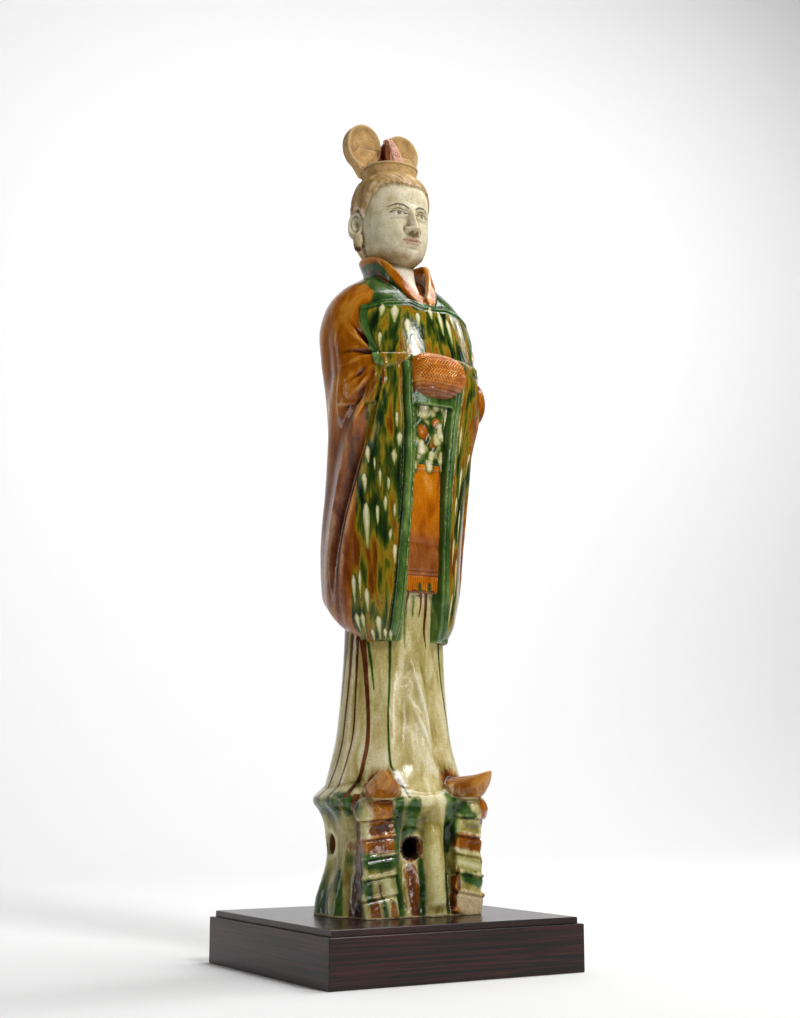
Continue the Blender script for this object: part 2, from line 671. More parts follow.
def glaze_material(name, run_length=60.0, wobble=0.34, amber_stops=AMBER):
    """Lead glaze over buff clay, fired to a glassy skin that ran: straw where it is clear, amber from
    iron, green from copper. It pools dark in hollows and thins to pale on ridges, and it is finely
    crazed. The crazing is drawn at 4 mm, coarser than the real 2 mm, so that it shows.
    """
    made, shader, mm = new_material(name, IOR=1.47)
    links = made.node_tree.links
    runs = noise_at(made, mm, (8, 8, run_length), detail=4, distortion=0.4)
    washes = noise_at(made, mm, (14, 14, run_length * 1.4), detail=2, distortion=0.3)
    streaks = noise_at(made, mm, (3.2, 3.2, run_length * 0.5), detail=3, distortion=0.2)
    pools = noise_at(made, mm, (24, 24, 60), detail=3, distortion=0.8)
    fine = noise_at(made, mm, (2.2, 2.2, 4), detail=2)

    def edge(label, softness, wander=wobble):
        """A glaze's own area, its edge wandering as it ran."""
        noise = number(made, "MULTIPLY", number(made, "SUBTRACT", runs, 0.5), wander)
        noise = stir(made, noise, fine, wander * 0.25)
        place = number(made, "ADD", stored(made, label), noise)
        return between(made, place, 0.5 - softness, 0.5 + softness)

    ridge, burnt, cream_field = (stored(made, name) for name in ("ridge", "burnt", "cream"))
    thick = number(made, "MULTIPLY_ADD", ridge, -0.42, pools)
    thick = stir(made, thick, streaks, 0.2)
    thick = stir(made, thick, fine, 0.14)
    even = number(made, "MULTIPLY_ADD", ridge, 0.2, thick)
    straw = ramp(made, thick, [(0.20, "#f6efd2"), (0.40, "#e8dcae"), (0.58, "#cdbc7f"), (0.85, "#96803c")])
    olive = ramp(made, thick, [(0.20, "#dcd391"), (0.42, "#b9a957"), (0.60, "#8f802c"), (0.88, "#4c4a14")])
    amber = ramp(made, thick, amber_stops)
    umber = ramp(made, thick, [(0.18, "#b98a66"), (0.40, "#8c5330"), (0.60, "#6b3518"), (0.85, "#331306")])
    green = ramp(made, even, [(0.08, "#93a866"), (0.28, "#567634"), (0.47, "#33561f"), (0.72, "#15260c")])
    brown = ramp(made, thick, [(0.18, "#94603c"), (0.40, "#6e3c1d"), (0.60, "#4b220d"), (0.85, "#230b04")])
    mixed = stir(made, washes, washes, 0.3)
    mixed = stir(made, mixed, runs, 0.4)
    mixed = number(made, "MULTIPLY_ADD", ridge, 0.05, number(made, "MULTIPLY_ADD", burnt, 0.2, mixed))
    greens = [(0.28, "#0f1c08"), (0.40, "#264011"), (0.49, "#5c6012")]
    panel = ramp(made, mixed, greens + [(0.57, "#97841e"), (0.66, "#9c680f"), (0.80, "#743a06")])
    rivulets = noise_at(made, mm, (5, 5, run_length * 1.2), detail=1.0, distortion=0.5)
    rivulets = number(made, "ABSOLUTE", number(made, "SUBTRACT", rivulets, 0.5))
    rivulets = number(made, "SUBTRACT", 1.0, between(made, rivulets, 0.003, 0.016))
    rivulets = number(made, "MULTIPLY", rivulets, 0.65)
    panel = blend_colours(made, rivulets, panel, hex_colour("#2a1d06"))
    colour = blend_colours(made, burnt, straw, olive)
    warm = blend_colours(made, burnt, amber, umber)
    colour = blend_colours(made, edge("amber", 0.12), colour, warm)
    colour = blend_colours(made, edge("panel", 0.10), colour, panel)
    off_amber = number(made, "SUBTRACT", 1.0, edge("amber", 0.2))
    bleeding = number(made, "MULTIPLY", edge("green", 0.42), off_amber)
    colour = blend_colours(made, bleeding, colour, ramp(made, thick, [(0.25, "#c3c06a"), (0.7, "#6b7424")]))
    colour = blend_colours(made, edge("green", 0.2), colour, green)
    colour = blend_colours(made, edge("brown", 0.07, 0.12), colour, brown)
    sooty = between(made, stored(made, "brown"), 0.93, 0.97)
    colour = blend_colours(made, sooty, colour, hex_colour("#2a1d0e"))
    unburnt = number(made, "SUBTRACT", 0.75, burnt, clamp=True)
    halo = number(made, "MULTIPLY", between(made, cream_field, 0.15, 0.42), unburnt)
    colour = blend_colours(made, halo, colour, green)
    drop_colour = stir(made, cream_field, streaks, 0.3)
    cream = ramp(made, drop_colour, [(0.46, "#8f9140"), (0.64, "#c9c280"), (0.84, "#eee6c4")])
    colour = blend_colours(made, edge("cream", 0.10, 0.16), colour, cream)
    bare = ramp(made, fine, [(0.3, "#c3a778"), (0.65, "#e4cfa4")])
    unglazed = edge("bare", 0.06, 0.5)
    colour = blend_colours(made, unglazed, colour, bare)

    cells = add_node(made, "ShaderNodeMapping", {"Vector": mm, "Scale": (1 / CRAZING,) * 3})
    inputs = {"Vector": cells.outputs["Vector"], "Scale": 1.0}
    crack = add_node(made, "ShaderNodeTexVoronoi", inputs, feature="DISTANCE_TO_EDGE")
    uncracked = between(made, crack.outputs["Distance"], 0.0, 0.07)
    crazed = ramp(made, uncracked, [(0.0, "#a8946c"), (1.0, "#ffffff")])
    colour = blend_colours(made, 0.4, colour, crazed, "MULTIPLY")
    links.new(colour, shader.inputs["Base Color"])

    gloss = add_node(made, "ShaderNodeMapRange", {"Value": pools, "To Min": 0.04, "To Max": 0.13})
    gloss = number(made, "MULTIPLY_ADD", unglazed, 0.6, gloss.outputs["Result"])
    links.new(gloss, shader.inputs["Roughness"])
    pitted = noise_at(made, mm, (6, 6, 10), detail=4, roughness=0.55)
    set_bump(made, shader, number(made, "MULTIPLY_ADD", uncracked, 0.02, pitted), 0.0009, 0.5)
    return made


# Where each glaze was brushed on and where it ran: paths, and half widths along them.
RUNS_BROWN = [
    ([(-70, 1, 372), (-76, 4, 300), (-79, 6, 259), (-91, 6, 197), (-102, 14, 172), (-112, 24, 150)],
     (5, 3, 2.2, 2, 2, 3)),
    ([(-69, -9, 368), (-72, -10, 300), (-77, -12, 240), (-93, -11, 184), (-111, -6, 152)],
     (4, 2, 1.6, 1.6, 2)),
    ([(-68, -17, 372), (-66, -22, 330), (-63, -28, 270), (-66, -32, 228), (-73, -34, 202), (-84, -38, 182),
      (-102, -40, 158)], (8, 5, 3.6, 4, 3.6, 3, 4)),
    ([(-72, 24, 380), (-76, 24, 330), (-78, 22, 280)], (20, 10, 2)),
]
FRONT_RUNS_BROWN = [
    ([(10, -62, 440), (13, -58, 408), (12, -54, 380), (17, -52, 352)], (3.0, 2.6, 2.0, 0.8)),
    ([(2, -62, 436), (4, -58, 412), (2, -54, 396)], (2.4, 1.4, 0.8)),
    ([(-16, -62, 432), (-18, -58, 412), (-16, -54, 398)], (2.2, 1.2, 0.8)),
    ([(-30, -64, 428), (-16, -66, 424), (0, -66, 426), (12, -66, 424), (28, -64, 427)],
     (2.2, 1.4, 2.2, 1.4, 2.2)),
]
FRONT_RUNS_GREEN = [
    ([(-20, -58, 424), (-19, -52, 392), (-17, -50, 352)], (6, 4, 1.2)),
    ([(-8, -62, 424), (-7, -56, 398)], (5, 2)),
    ([(22, -60, 424), (24, -56, 400)], (5, 2)),
]
DAUBS_BROWN = [
    ([(-20, -78, 66), (-20, -84, 30), (-16, -84, 4)], (4, 6, 5)),
    ([(-60, -78, 116), (-80, -78, 112)], (4, 6)),
    ([(92, -72, 150), (96, -66, 120)], (4, 3)),
    ([(48, -84, 66), (50, -84, 40), (47, -84, 12)], (2, 3.5, 2)),
    ([(56, -84, 80), (60, -86, 62)], (1.2, 1.6)),
    ([(76, -84, 74), (80, -86, 58)], (1.2, 1.6)),
    ([(-70, -84, 42), (-68, -84, 24)], (3, 2)),
]
RUNS_GREEN = [
    ([(-63, -23, 372), (-58, -28, 330), (-55, -31, 298)], (3.5, 2.6, 1.2)),
    ([(-38, -44, 365), (-40, -45, 300), (-41, -45, 258), (-43, -54, 202), (-37, -61, 184), (-30, -82, 155)],
     (3.4, 2.4, 2.0, 2.0, 1.8, 1.6)),
    ([(45, -42, 365), (52, -38, 310), (58, -34, 262), (66, -36, 226)], (3.5, 3, 2.4, 1.6)),
]
lower_points = points_of(lower)
x, y, z = lower_points.T
degrees = angle_round(x, y)
base = 1 - ease(146, 160, z)
DAUBS_GREEN = [
    ([(-84, -66, 172), (-74, -78, 186), (-58, -76, 188)], (7, 6)),
    ([(-104, -44, 156), (-96, -50, 132)], (7, 4)),
    ([(-46, -86, 166), (-44, -84, 130), (-42, -80, 100), (-42, -80, 60), (-38, -80, 6)], (6, 9, 8, 8, 7)),
    ([(-24, -76, 142), (-22, -74, 116), (-30, -74, 92)], (12, 10, 5)),
    ([(-8, -78, 74), (-6, -84, 30), (-8, -84, 4)], (3, 4, 5)),
    ([(34, -78, 160), (38, -74, 132), (40, -74, 104), (38, -74, 84)], (9, 10, 8, 4)),
    ([(36, -80, 52), (34, -80, 6)], (5, 4)),
    ([(-92, -82, 74), (-70, -86, 70), (-46, -84, 74)], (11, 11, 9)),
    ([(-88, -84, 44), (-84, -84, 22)], (8, 5)),
    ([(-66, -86, 26), (-62, -86, 4)], (3, 4)),
    ([(50, -84, 142), (58, -84, 132), (66, -84, 130)], (9, 7, 5)),
    ([(-58, -86, 44), (-58, -86, 28)], (1.5, 2)),
    ([(62, -86, 50), (84, -82, 40), (92, -70, 44)], (8, 6, 7)),
    ([(44, -80, 190), (40, -82, 170)], (7, 6)),
    ([(60, -74, 196), (46, -72, 204)], (5, 3)),
    ([(-108, -8, 150), (-102, -6, 120), (-98, -2, 100)], (6, 4, 2)),
    ([(-98, -18, 60), (-102, -18, 30), (-106, -18, 4)], (2, 3, 5)),
    ([(-100, 10, 70), (-104, 12, 30), (-108, 12, 4)], (2, 3.5, 4)),
    ([(-110, 30, 150), (-98, 26, 92), (-106, 28, 6)], (5, 3, 5)),
    ([(96, 0, 150), (100, 0, 60)], (14, 9)),
    ([(60, 80, 150), (58, 84, 40)], (16, 10)),
    ([(-40, 88, 150), (-42, 88, 60)], (14, 10)),
]
DAUBS_AMBER = [
    ([(-70, -88, 150), (-66, -88, 122), (-66, -86, 108)], (20, 19, 17)),
    ([(-88, -82, 92), (-52, -84, 94)], (11, 11)),
    ([(-78, -86, 22), (-76, -86, 2)], (6, 8)),
    ([(-52, -86, 18), (-50, -86, 2)], (4, 6)),
    ([(50, -84, 98), (88, -82, 92)], (11, 11)),
    ([(86, -80, 146), (88, -74, 126)], (12, 8)),
    ([(78, -84, 66), (78, -84, 58)], (4, 4)),
    ([(94, -76, 84), (96, -72, 6)], (6, 8)),
    ([(-26, -76, 108), (-30, -76, 92), (-20, -78, 76)], (5, 6, 7)),
    ([(-20, -84, 60), (-14, -84, 8)], (9, 11)),
    ([(46, -82, 48), (44, -80, 6)], (5, 6)),
    ([(100, 40, 140), (98, 40, 40)], (20, 18)),
    ([(10, 90, 140), (10, 90, 20)], (26, 20)),
    ([(-76, 76, 140), (-78, 76, 30)], (14, 12)),
]
shoe_strokes = []
for side in (-1, 1):
    root = SHOE_ROOTS[side]
    out = (side * math.sin(FOOT_TURN), math.cos(FOOT_TURN))
    path = [(root[0] + s * out[0], root[1] - s * out[1], 168 + s * 0.1) for s in (18, 45, 80)]
    shoe_strokes.append((path, (26, 30, 29)))
shoes = brushed(lower_points, shoe_strokes) * ease(150, 156, z)
vent_walls = np.zeros(len(x))
for turn, height, way in VENTS:
    a = math.radians(turn)
    along = (lower_points - (way, 6, height)) @ (math.sin(a), -math.cos(a), 0)
    off = lower_points - (way, 6, height) - along[:, None] * (math.sin(a), -math.cos(a), 0)
    near = np.linalg.norm(off, axis=1)
    reach = 84 if turn == 0 else 96
    vent_walls = np.maximum(vent_walls, (near < 16.5) * (along > 0) * (1 - ease(reach - 10, reach, along)))
inside_hollow = (np.hypot(x / 47, (y - 6) / 39) < 1.02) & (z < 126)
front_view = (1, 0.2, 1)
in_front = y < -30
unrolled = unroll(lower_points)
brown_runs = [(unroll(path), widths) for path, widths in as_it_ran(RUNS_BROWN)]
green_runs = [(unroll(path), widths) for path, widths in as_it_ran(RUNS_GREEN)]
brown = np.maximum(brushed(unrolled, brown_runs), brushed(lower_points, DAUBS_BROWN, front_view))
brown = np.maximum(brown, brushed(lower_points, as_it_ran(FRONT_RUNS_BROWN), front_view) * in_front)
# The broad run beside the right column is placed as on the rock unrolled flat.
broad_run = [([(-103, 0, 170), (-106, 0, 110), (-104, 0, 60), (-105, 0, 0)], (4, 6, 9, 12))]
brown = np.maximum(brown, brushed(unrolled, broad_run) * (z < 160) * in_front)
brown = np.maximum(np.minimum(brown, 0.9), np.maximum(vent_walls, inside_hollow))
amber = np.maximum(shoes, brushed(lower_points, DAUBS_AMBER, front_view) * base)
green = np.maximum(brushed(unrolled, green_runs), brushed(lower_points, DAUBS_GREEN, front_view))
green = np.maximum(green, 0.62 * brushed(lower_points, as_it_ran(FRONT_RUNS_GREEN), front_view) * in_front)
green *= 1 - ease(0.35, 0.6, shoes)
cream_daubs = [
    ([(-60, -80, 46), (-56, -80, 30)], (10, 9)),
    ([(52, -80, 70), (84, -78, 62)], (10, 9)),
]
cream = brushed(lower_points, cream_daubs, front_view) * 0.8
bare = brushed(lower_points, [([(60, -80, 20), (84, -78, 12)], (13, 13))], front_view)
bare = np.maximum(bare, 0.95 * (1 - ease(0.8, 3.5, z)))
# The clear glaze is greener and thicker on the rock, and in a band under the robe.
shade = 0.85 * (1 - ease(120, 165, z)) + 0.4 * ease(230, 330, z)
shade += 0.2 * ease(35, 75, np.abs(degrees)) * (1 - base)
burnt = np.clip(np.where(amber > 0.4, 0.12, shade), 0, 1)
glaze_fields(lower, amber=amber, green=green, brown=brown, cream=cream, bare=bare, burnt=burnt)
# Amber on the shoes and the rock, browner than on the robe.
BROWN_AMBER = [(0.14, "#c98a2e"), (0.36, "#a66206"), (0.56, "#844603"), (0.85, "#3d1a00")]
stand_in(lower, glaze_material("lead_glaze_straw", wobble=0.45, amber_stops=BROWN_AMBER))


# The robe: a wide-sleeved coat, a stiff panel over the chest and a standing collar. The sleeves are
# slabs of clay folded over the arms and left open below. Amber and green lead glaze, dripped with slip.

ROBE = [
    (362, 14, 82, -72, 82),
    (380, 14, 88, -74, 88),
    (400, 15, 93, -76, 92),
    (430, 17, 99, -80, 97),
    (482, 18, 102, -84, 97),
    (525, 12, 103, -88, 92),
    (568, 2, 103, -92, 84),
    (620, -11, 104, -98, 75),
    (655, -20, 107, -101, 67),
    (685, -23, 112, -104, 63),
    (713, -24, 116, -105, 63),
    (737, -17, 116, -103, 68),
    (760, -9, 116, -99, 75),
    (800, 2, 117, -89, 83),
    (830, 6, 109, -79, 85),
    (850, 9, 99, -68, 82),
    (862, 11, 89, -58, 78),
    (874, 13, 76, -46, 71),
    (886, 14, 57, -35, 62),
    (896, 15, 42, -27, 54),
    (908, 16, 33, -20, 50),
]
# The body inside the robe, which shows in the channel between the sleeves.
CORE = [
    (340, 9, 68, -50, 62),
    (388, 9, 70, -54, 66),
    (402, 9, 76, -57, 80),
    (430, 9, 78, -61, 86),
    (482, 7, 80, -66, 88),
    (525, 5, 82, -70, 84),
    (568, 2, 82, -74, 77),
    (620, -4, 84, -79, 69),
    (655, -8, 84, -82, 62),
    (720, -10, 86, -89, 58),
    (760, -4, 84, -88, 66),
]
ROBE_SHAPE = (1.8, 2.2)
# Half the width of that channel, by height.
SLEEVE_GAP = [(362, 34), (430, 31), (568, 27), (655, 30), (700, 35), (745, 38)]
SLEEVE_FOOT, SLEEVE_TOP = 363, 752
ELBOWS = {-1: (-83, -40, 712), 1: (89, -42, 709)}
# The collar's upper and lower edges on one side, from the front opening to the nape.
COLLAR = [
    ((3, -76, 846), (5, -81, 834)),
    ((9, -70, 853), (17, -76, 841)),
    ((22, -53, 879), (29, -58, 865)),
    ((34, -33, 903), (38, -36, 886)),
    ((43, -11, 917), (41, -11, 901)),
    ((48, 14, 922), (41, 14, 906)),
    ((43, 40, 923), (36, 38, 907)),
    ((27, 60, 923), (23, 56, 907)),
    ((0, 68, 923), (0, 63, 907)),
]
# The sleeve's border ridge, as angle from the front and height.
BORDER = [(46, 742), (52, 700), (61, 610), (67, 549), (72, 473), (75, 419), (78, 388)]
# The fold behind it, which also starts in the crook of the arm.
FOLD = [(48, 745), (58, 712), (70, 674), (77, 640), (81, 604), (84, 549), (88, 473), (92, 400)]


def sleeve_bottom(degrees):
    """The sleeve's lower edge, which rises towards its back corner."""
    return SLEEVE_FOOT + 12 * ease(50, 92, degrees) + 46 * ease(84, 142, degrees)


def angle_of(line, z):
    """The angle at these heights of a line down the sleeve."""
    return np.interp(z, [p[1] for p in line][::-1], [p[0] for p in line][::-1])


def sleeve_relief(degrees, z):
    """The border's ridge and the folds behind it that fan out from the crook of the arm."""
    down = 1 - ease(690, 745, z)
    share = (SLEEVE_TOP - z) / (SLEEVE_TOP - SLEEVE_FOOT)
    total = 5.0 * ease(690, 735, z) * (1 - ease(55, 75, degrees))
    border, fold = angle_of(BORDER, z), angle_of(FOLD, z)
    total = total + 5.2 * hump(degrees - border, 2.3) * (0.3 + 0.7 * down) * (1 - ease(0.72, 0.98, share))
    gap = np.maximum(fold - border, 4) / 2
    valley = np.exp(-np.abs((degrees - border - gap) / (0.75 * gap)) ** 2.5)
    total = total - 9.0 * valley * down * (1 - ease(0.35, 0.95, share) * 0.85)
    total = total + 3.6 * hump(degrees - fold, 3.6) * down * (1 - ease(0.45, 0.9, share))
    total = total - 3.8 * hump(degrees - fold - 13, 7) * down * (1 - 0.8 * share)
    total = total + 2.4 * hump(degrees - fold - 30, 9) * down * (1 - 0.6 * share)
    return total


def sleeve_shell(side):
    """A long hanging sleeve: a thick wall of clay round the side of the robe."""
    levels = np.linspace(0, 1, 190)
    steps = np.linspace(0, 1, 150)
    front_z = SLEEVE_FOOT + (SLEEVE_TOP - SLEEVE_FOOT) * levels
    gap = curve_at(SLEEVE_GAP, front_z)[:, 0]
    rows = curve_at(ROBE, front_z)
    start = np.degrees(np.arctan2(gap, rows[:, 0] - rows[:, 2]))[:, None]
    end = 152 + 29 * ease(560, 700, front_z)[:, None]
    degrees = start + (end - start) * steps
    bottom = sleeve_bottom(degrees)
    z = bottom + (SLEEVE_TOP - bottom) * levels[:, None]
    round_in = 6 + 14 * ease(40, 100, degrees)
    roll = -round_in * (1 - np.minimum((z - bottom) / 30, 1)) ** 2
    rows = curve_at(ROBE, z)
    x, y = section_points(rows, ROBE_SHAPE, np.radians(degrees), roll + sleeve_relief(degrees, z))
    outer = np.stack([x * side, y, z], axis=-1)
    x, y = section_points(rows, ROBE_SHAPE, np.radians(degrees), -34.0)
    inner = np.stack([x * side, y, z], axis=-1)
    return rings_shell(np.concatenate([outer, inner[:, ::-1]], axis=1))


def collar_shell(side):
    """The standing collar's band on one side, from the front opening to the nape."""
    fine = []
    t = np.linspace(0, len(COLLAR) - 1, 60)
    for k in (0, 1):
        path = [(i, *COLLAR[i][k]) for i in range(len(COLLAR))]
        fine.append(curve_at(path, t))
    rings = []
    for top, low in zip(*fine):
        top, low = Vector((top[0] * side, top[1], top[2])), Vector((low[0] * side, low[1], low[2]))
        inward = Vector((-top.x, 19 - top.y, 0)).normalized() * 8
        drop = Vector((0, 0, -5))
        rim = [top + inward * 0.2 + Vector((0, 0, 1)), top + inward * 0.8 + Vector((0, 0, 1))]
        foot = drop * 3.4
        outer = (low + foot + inward * 0.1, low + drop, low, top)
        inner = (top + inward, low + inward * 2 + drop, low + inward * 2 + foot)
        rings.append([tuple(p) for p in (*outer, *rim, *inner)])
    return rings_shell(rings)


def opening_width(z):
    """Half the width of the opening inside the collar, at these heights."""
    return np.interp(z, [834, 846, 865, 886, 906, 925], [0, 4, 22, 33, 37, 44])


def neck_opening(angle, z):
    """Sinks the shoulders' mass away inside the collar, where the bare neck shows."""
    x = section_points(curve_at(ROBE, z), ROBE_SHAPE, angle)[0]
    sunk = 14 * ease(-4, 2, opening_width(z) - np.abs(x)) * ease(838, 848, z)
    return -sunk * (np.abs(angle) < 1.5) - 12 * ease(893, 905, z)


robe_shells = [mass_shell([r for r in ROBE if r[0] >= 685], ROBE_SHAPE, neck_opening, step=1.5)]
robe_shells.append(mass_shell([(444, 9, 76, -61, 80)] + CORE[4:], (2.4, 2.2)))
for side in (-1, 1):
    robe_shells.append(sleeve_shell(side))
    robe_shells.append(ball_shell(ELBOWS[side], (29, 27, 38)))
    robe_shells.append(collar_shell(side))
robe = lute("robe", robe_shells, 1.5, 3)


def on_robe(degrees, z):
    """A point on the robe's outer form."""
    x, y = section_points(curve_at(ROBE, np.array(float(z))), ROBE_SHAPE, math.radians(degrees))
    return float(x), float(y), float(z)


def round_robe(degrees):
    """An angle as mm round the robe."""
    return degrees * math.radians(1) * 98


def vest_depth(points):
    """How far inside the chest panel's edge each point is, in mm, from the top, the sides and in all."""
    x, y, z = points.T
    degrees = angle_round(x, y)
    top = np.interp(degrees, [-60, -43, -18, -7, 11, 25, 45, 60], [830, 837, 840, 834, 834, 838, 836, 830])
    low = np.interp(degrees, [-46, -38, -29, -20, 16, 28, 38, 46], [738, 733, 740, 747, 751, 747, 737, 738])
    wide = np.interp(z, [738, 760, 790, 814, 830], [46, 51, 58, 62, 63])
    sides = round_robe(wide - np.abs(degrees))
    return top - z, sides, np.minimum(np.minimum(top - z, z - low), sides)


def from_channel(points):
    """How far each point is outside the channel between the sleeves, in mm."""
    return np.abs(points[:, 0]) - curve_at(SLEEVE_GAP, points[:, 2])[:, 0]


def before_core(points, margin):
    """Whether each point is before the body inside the robe, give or take a margin in mm."""
    return points[:, 1] < curve_at(CORE, points[:, 2])[:, 2] + margin


robe_points = points_of(robe)
from_top, from_side, inside = vest_depth(robe_points)
front = robe_points[:, 1] < 0
panel_lift = 3.2 * ease(-1.2, 1.2, inside) * front
for place, deep, wide in ((3.6, -1.1, 1.1), (9.0, -0.9, 1.1)):
    panel_lift += deep * hump(from_top - place, wide) * ease(0, 6, from_side) * front
panel_lift += 1.2 * hump(from_top - 6.3, 1.6) * ease(0, 4, from_side) * front
panel_lift += -0.8 * hump(from_side - 9.5, 1.2) * ease(2, 8, inside) * front
# The collar meets the panel, so neither is lifted above it.
panel_lift *= ease(0, 5, 846 - robe_points[:, 2])
raise_clay(robe, panel_lift)

# The folds by the crook of each arm and behind it: places by angle from the front and height, then
# width, height and fades.
ARM_FOLDS = [
    ([(46, 744), (56, 727), (68, 708), (78, 696)], 3.4, 5.0, 0.12, 0.5),
    ([(46, 740), (54, 719), (63, 697), (71, 672), (77, 645)], 3.2, 4.2, 0.1, 0.4),
    ([(46, 736), (52, 710), (58, 680), (63, 650)], 3.0, -3.8, 0.1, 0.5),
    ([(47, 741), (57, 715), (67, 692), (76, 668)], 2.8, -4.6, 0.1, 0.5),
    ([(47, 746), (60, 735), (74, 718), (84, 704)], 3.4, -4.4, 0.1, 0.6),
    ([(47, 748), (58, 748), (70, 745), (83, 739)], 3.4, 3.2, 0.12, 0.6),
    ([(47, 750), (58, 758), (70, 762), (82, 758)], 3.2, -3.2, 0.1, 0.6),
    ([(48, 752), (56, 772), (63, 793), (70, 812)], 3.0, -3.2, 0.05, 0.5),
    ([(48, 752), (54, 777), (59, 800), (63, 822)], 2.8, 2.4, 0.1, 0.5),
    ([(48, 755), (52, 780), (55, 800), (58, 815)], 2.4, -2.4, 0.1, 0.4),
    ([(50, 753), (62, 776), (72, 796)], 3.6, 2.2, 0.2, 0.6),
    ([(84, 830), (90, 780), (94, 730), (96, 690)], 12, -2.2, 0.3, 0.4),
    ([(104, 800), (108, 740), (112, 660), (116, 560)], 16, 2.2, 0.3, 0.4),
    ([(128, 760), (132, 660), (136, 540), (140, 450)], 13, -2.4, 0.3, 0.4),
]
VEST_FOOT = ([(46, 736), (38, 731), (30, 738), (21, 745)], 2.0, -2.6, 0.0, 0.1)


def fold_stroke(side, places, width, height, fade_in, fade_out):
    """A stroke on the robe's outer form, on one side."""
    return [on_robe(side * a, h) for a, h in places], width * 0.9, height * 1.3, fade_in, fade_out


robe_strokes = []
for side in (-1, 1):
    robe_strokes += [fold_stroke(side, *row) for row in ARM_FOLDS]
    # The yoke's seam over the shoulder.
    seam = [(side * 73, -50, 853), (side * 72, -30, 866), (side * 66, -5, 880), (side * 58, 18, 888)]
    robe_strokes.append((seam, 1.6, -1.8, 0.05, 0.2))
    # The vest's lower edge presses into the top of the sleeve.
    robe_strokes.append(fold_stroke(side, *VEST_FOOT))
model_by_hand(robe, robe_strokes)

# The piping down each sleeve's inner edge, with a groove beside it.
robe_points = points_of(robe)
x, y, z = robe_points.T
edge_way = from_channel(robe_points)
strip_zone = ease(366, 372, z) * (1 - ease(735, 748, z)) * before_core(robe_points, 6)
piping = 3.0 * hump(edge_way - 6, 4.8, 4) - 2.6 * hump(edge_way - 13.5, 1.7)
piping -= 1.2 * hump(edge_way - 1.5, 1.1)
# Glaze gathered in beads along the sleeves' lower edges.
round_way = round_robe(angle_round(x, y))
beads = 1.1 + 1.2 * np.sin(round_way / 1.9 + 2 * np.sin(round_way / 13)) + 0.8 * np.sin(round_way / 3.7)
beads *= hump(z - 366, 3.5) * (y < 30) * (edge_way > 8)
raise_clay(robe, piping * strip_zone + beads)
thin_out(robe, 195000)
store_ridges(robe, 5)

robe_points = points_of(robe)
x, y, z = robe_points.T
degrees = angle_round(x, y)
from_top, from_side, inside = vest_depth(robe_points)
front = y < 0
edge_way = from_channel(robe_points)
channel = (edge_way < 1) & (y < 0) & (z < 740)
in_strip = (edge_way > -3) & (z < 748) & (inside < 0) & before_core(robe_points, 10)
strip_field = np.where(in_strip, np.clip(0.5 + (12.5 - edge_way) / 7, 0, 1), 0)
border = angle_of(BORDER, z)
border_field = 0.5 + (border - np.abs(degrees)) * math.radians(1) * 100 / 14
panel_field = np.where((z < 746) & front, border_field, 0)
vest_field = np.where(front, 0.5 + inside / 8, 0)
vest_edge = np.minimum(from_top, from_side)
vest_green = np.where(vest_field > 0.3, 0.5 + (11 - vest_edge) / 8, 0)
collar_band = np.zeros(len(x))
for side in (-1, 1):
    line = np.array([((a[0] + b[0]) / 2 * side, (a[1] + b[1]) / 2, (a[2] + b[2]) / 2) for a, b in COLLAR])
    far, share = path_distance(robe_points, line)
    shares = np.linspace(0, 1, len(line))
    near_x, near_y, near_z = (np.interp(share, shares, line[:, k]) for k in range(3))
    inward = near_x * (near_x - x) + (near_y - 19) * (near_y - y)
    inward = inward / np.hypot(near_x, near_y - 19)
    on_face = np.clip(0.5 + (z - near_z + 7 - 6 * ease(0.25, 0.5, share)) / 8, 0, 1)
    collar_band = np.maximum(collar_band, np.where(far < 17, np.maximum(on_face, ease(2, 4, inward)), 0))
in_opening = (z > 838) & (np.abs(x) < opening_width(z) + 1) & front & (from_top < -2)
collar_band = np.where(in_opening, 1, collar_band)
yoke_edge = np.interp(z, [826, 838, 853, 866, 880, 900], [56, 56, 56, 67, 86, 100])
yoke_field = 0.5 + (yoke_edge - np.abs(degrees)) * math.radians(1) * 80 / 10
yoke_field = np.where((z > 826) & (from_top < 0), yoke_field, 0)
yoke_field = np.where(z > 886, np.maximum(yoke_field, 0.9), yoke_field)
green = np.maximum.reduce([strip_field, vest_green * (vest_field > 0.4), yoke_field])
green = np.where(channel & (z < 704), 0.8, green)
green = green * (1 - ease(0.4, 0.7, collar_band))
gap = np.maximum(angle_of(FOLD, z) - border, 4) / 2
valley = hump(np.abs(degrees) - border - gap, 0.7 * gap) * ease(470, 600, z) * (1 - ease(690, 735, z))
brown = np.maximum(np.where(channel & (z > 700), 0.8, 0), 0.52 * valley)
# Iron burnt the sleeves red-brown below the elbow, and warmed a patch low on each border.
burnt = (1 - ease(540, 735, z)) * ease(-2, 10, np.abs(degrees) - border)
warm_patch = 1.3 * hump(z - 484, 20) + 0.5 * hump(z - 420, 30) * hump(np.abs(degrees) - 54, 6)
warm_patch += 0.42 * ease(610, 690, z) * (1 - ease(750, 760, z)) - 0.2 * hump(z - 560, 40)
warmth = np.where(inside < 0, warm_patch, 0.25 * (inside > 0))
burnt = np.where(panel_field > 0.4, warmth, np.clip(burnt, 0, 1))
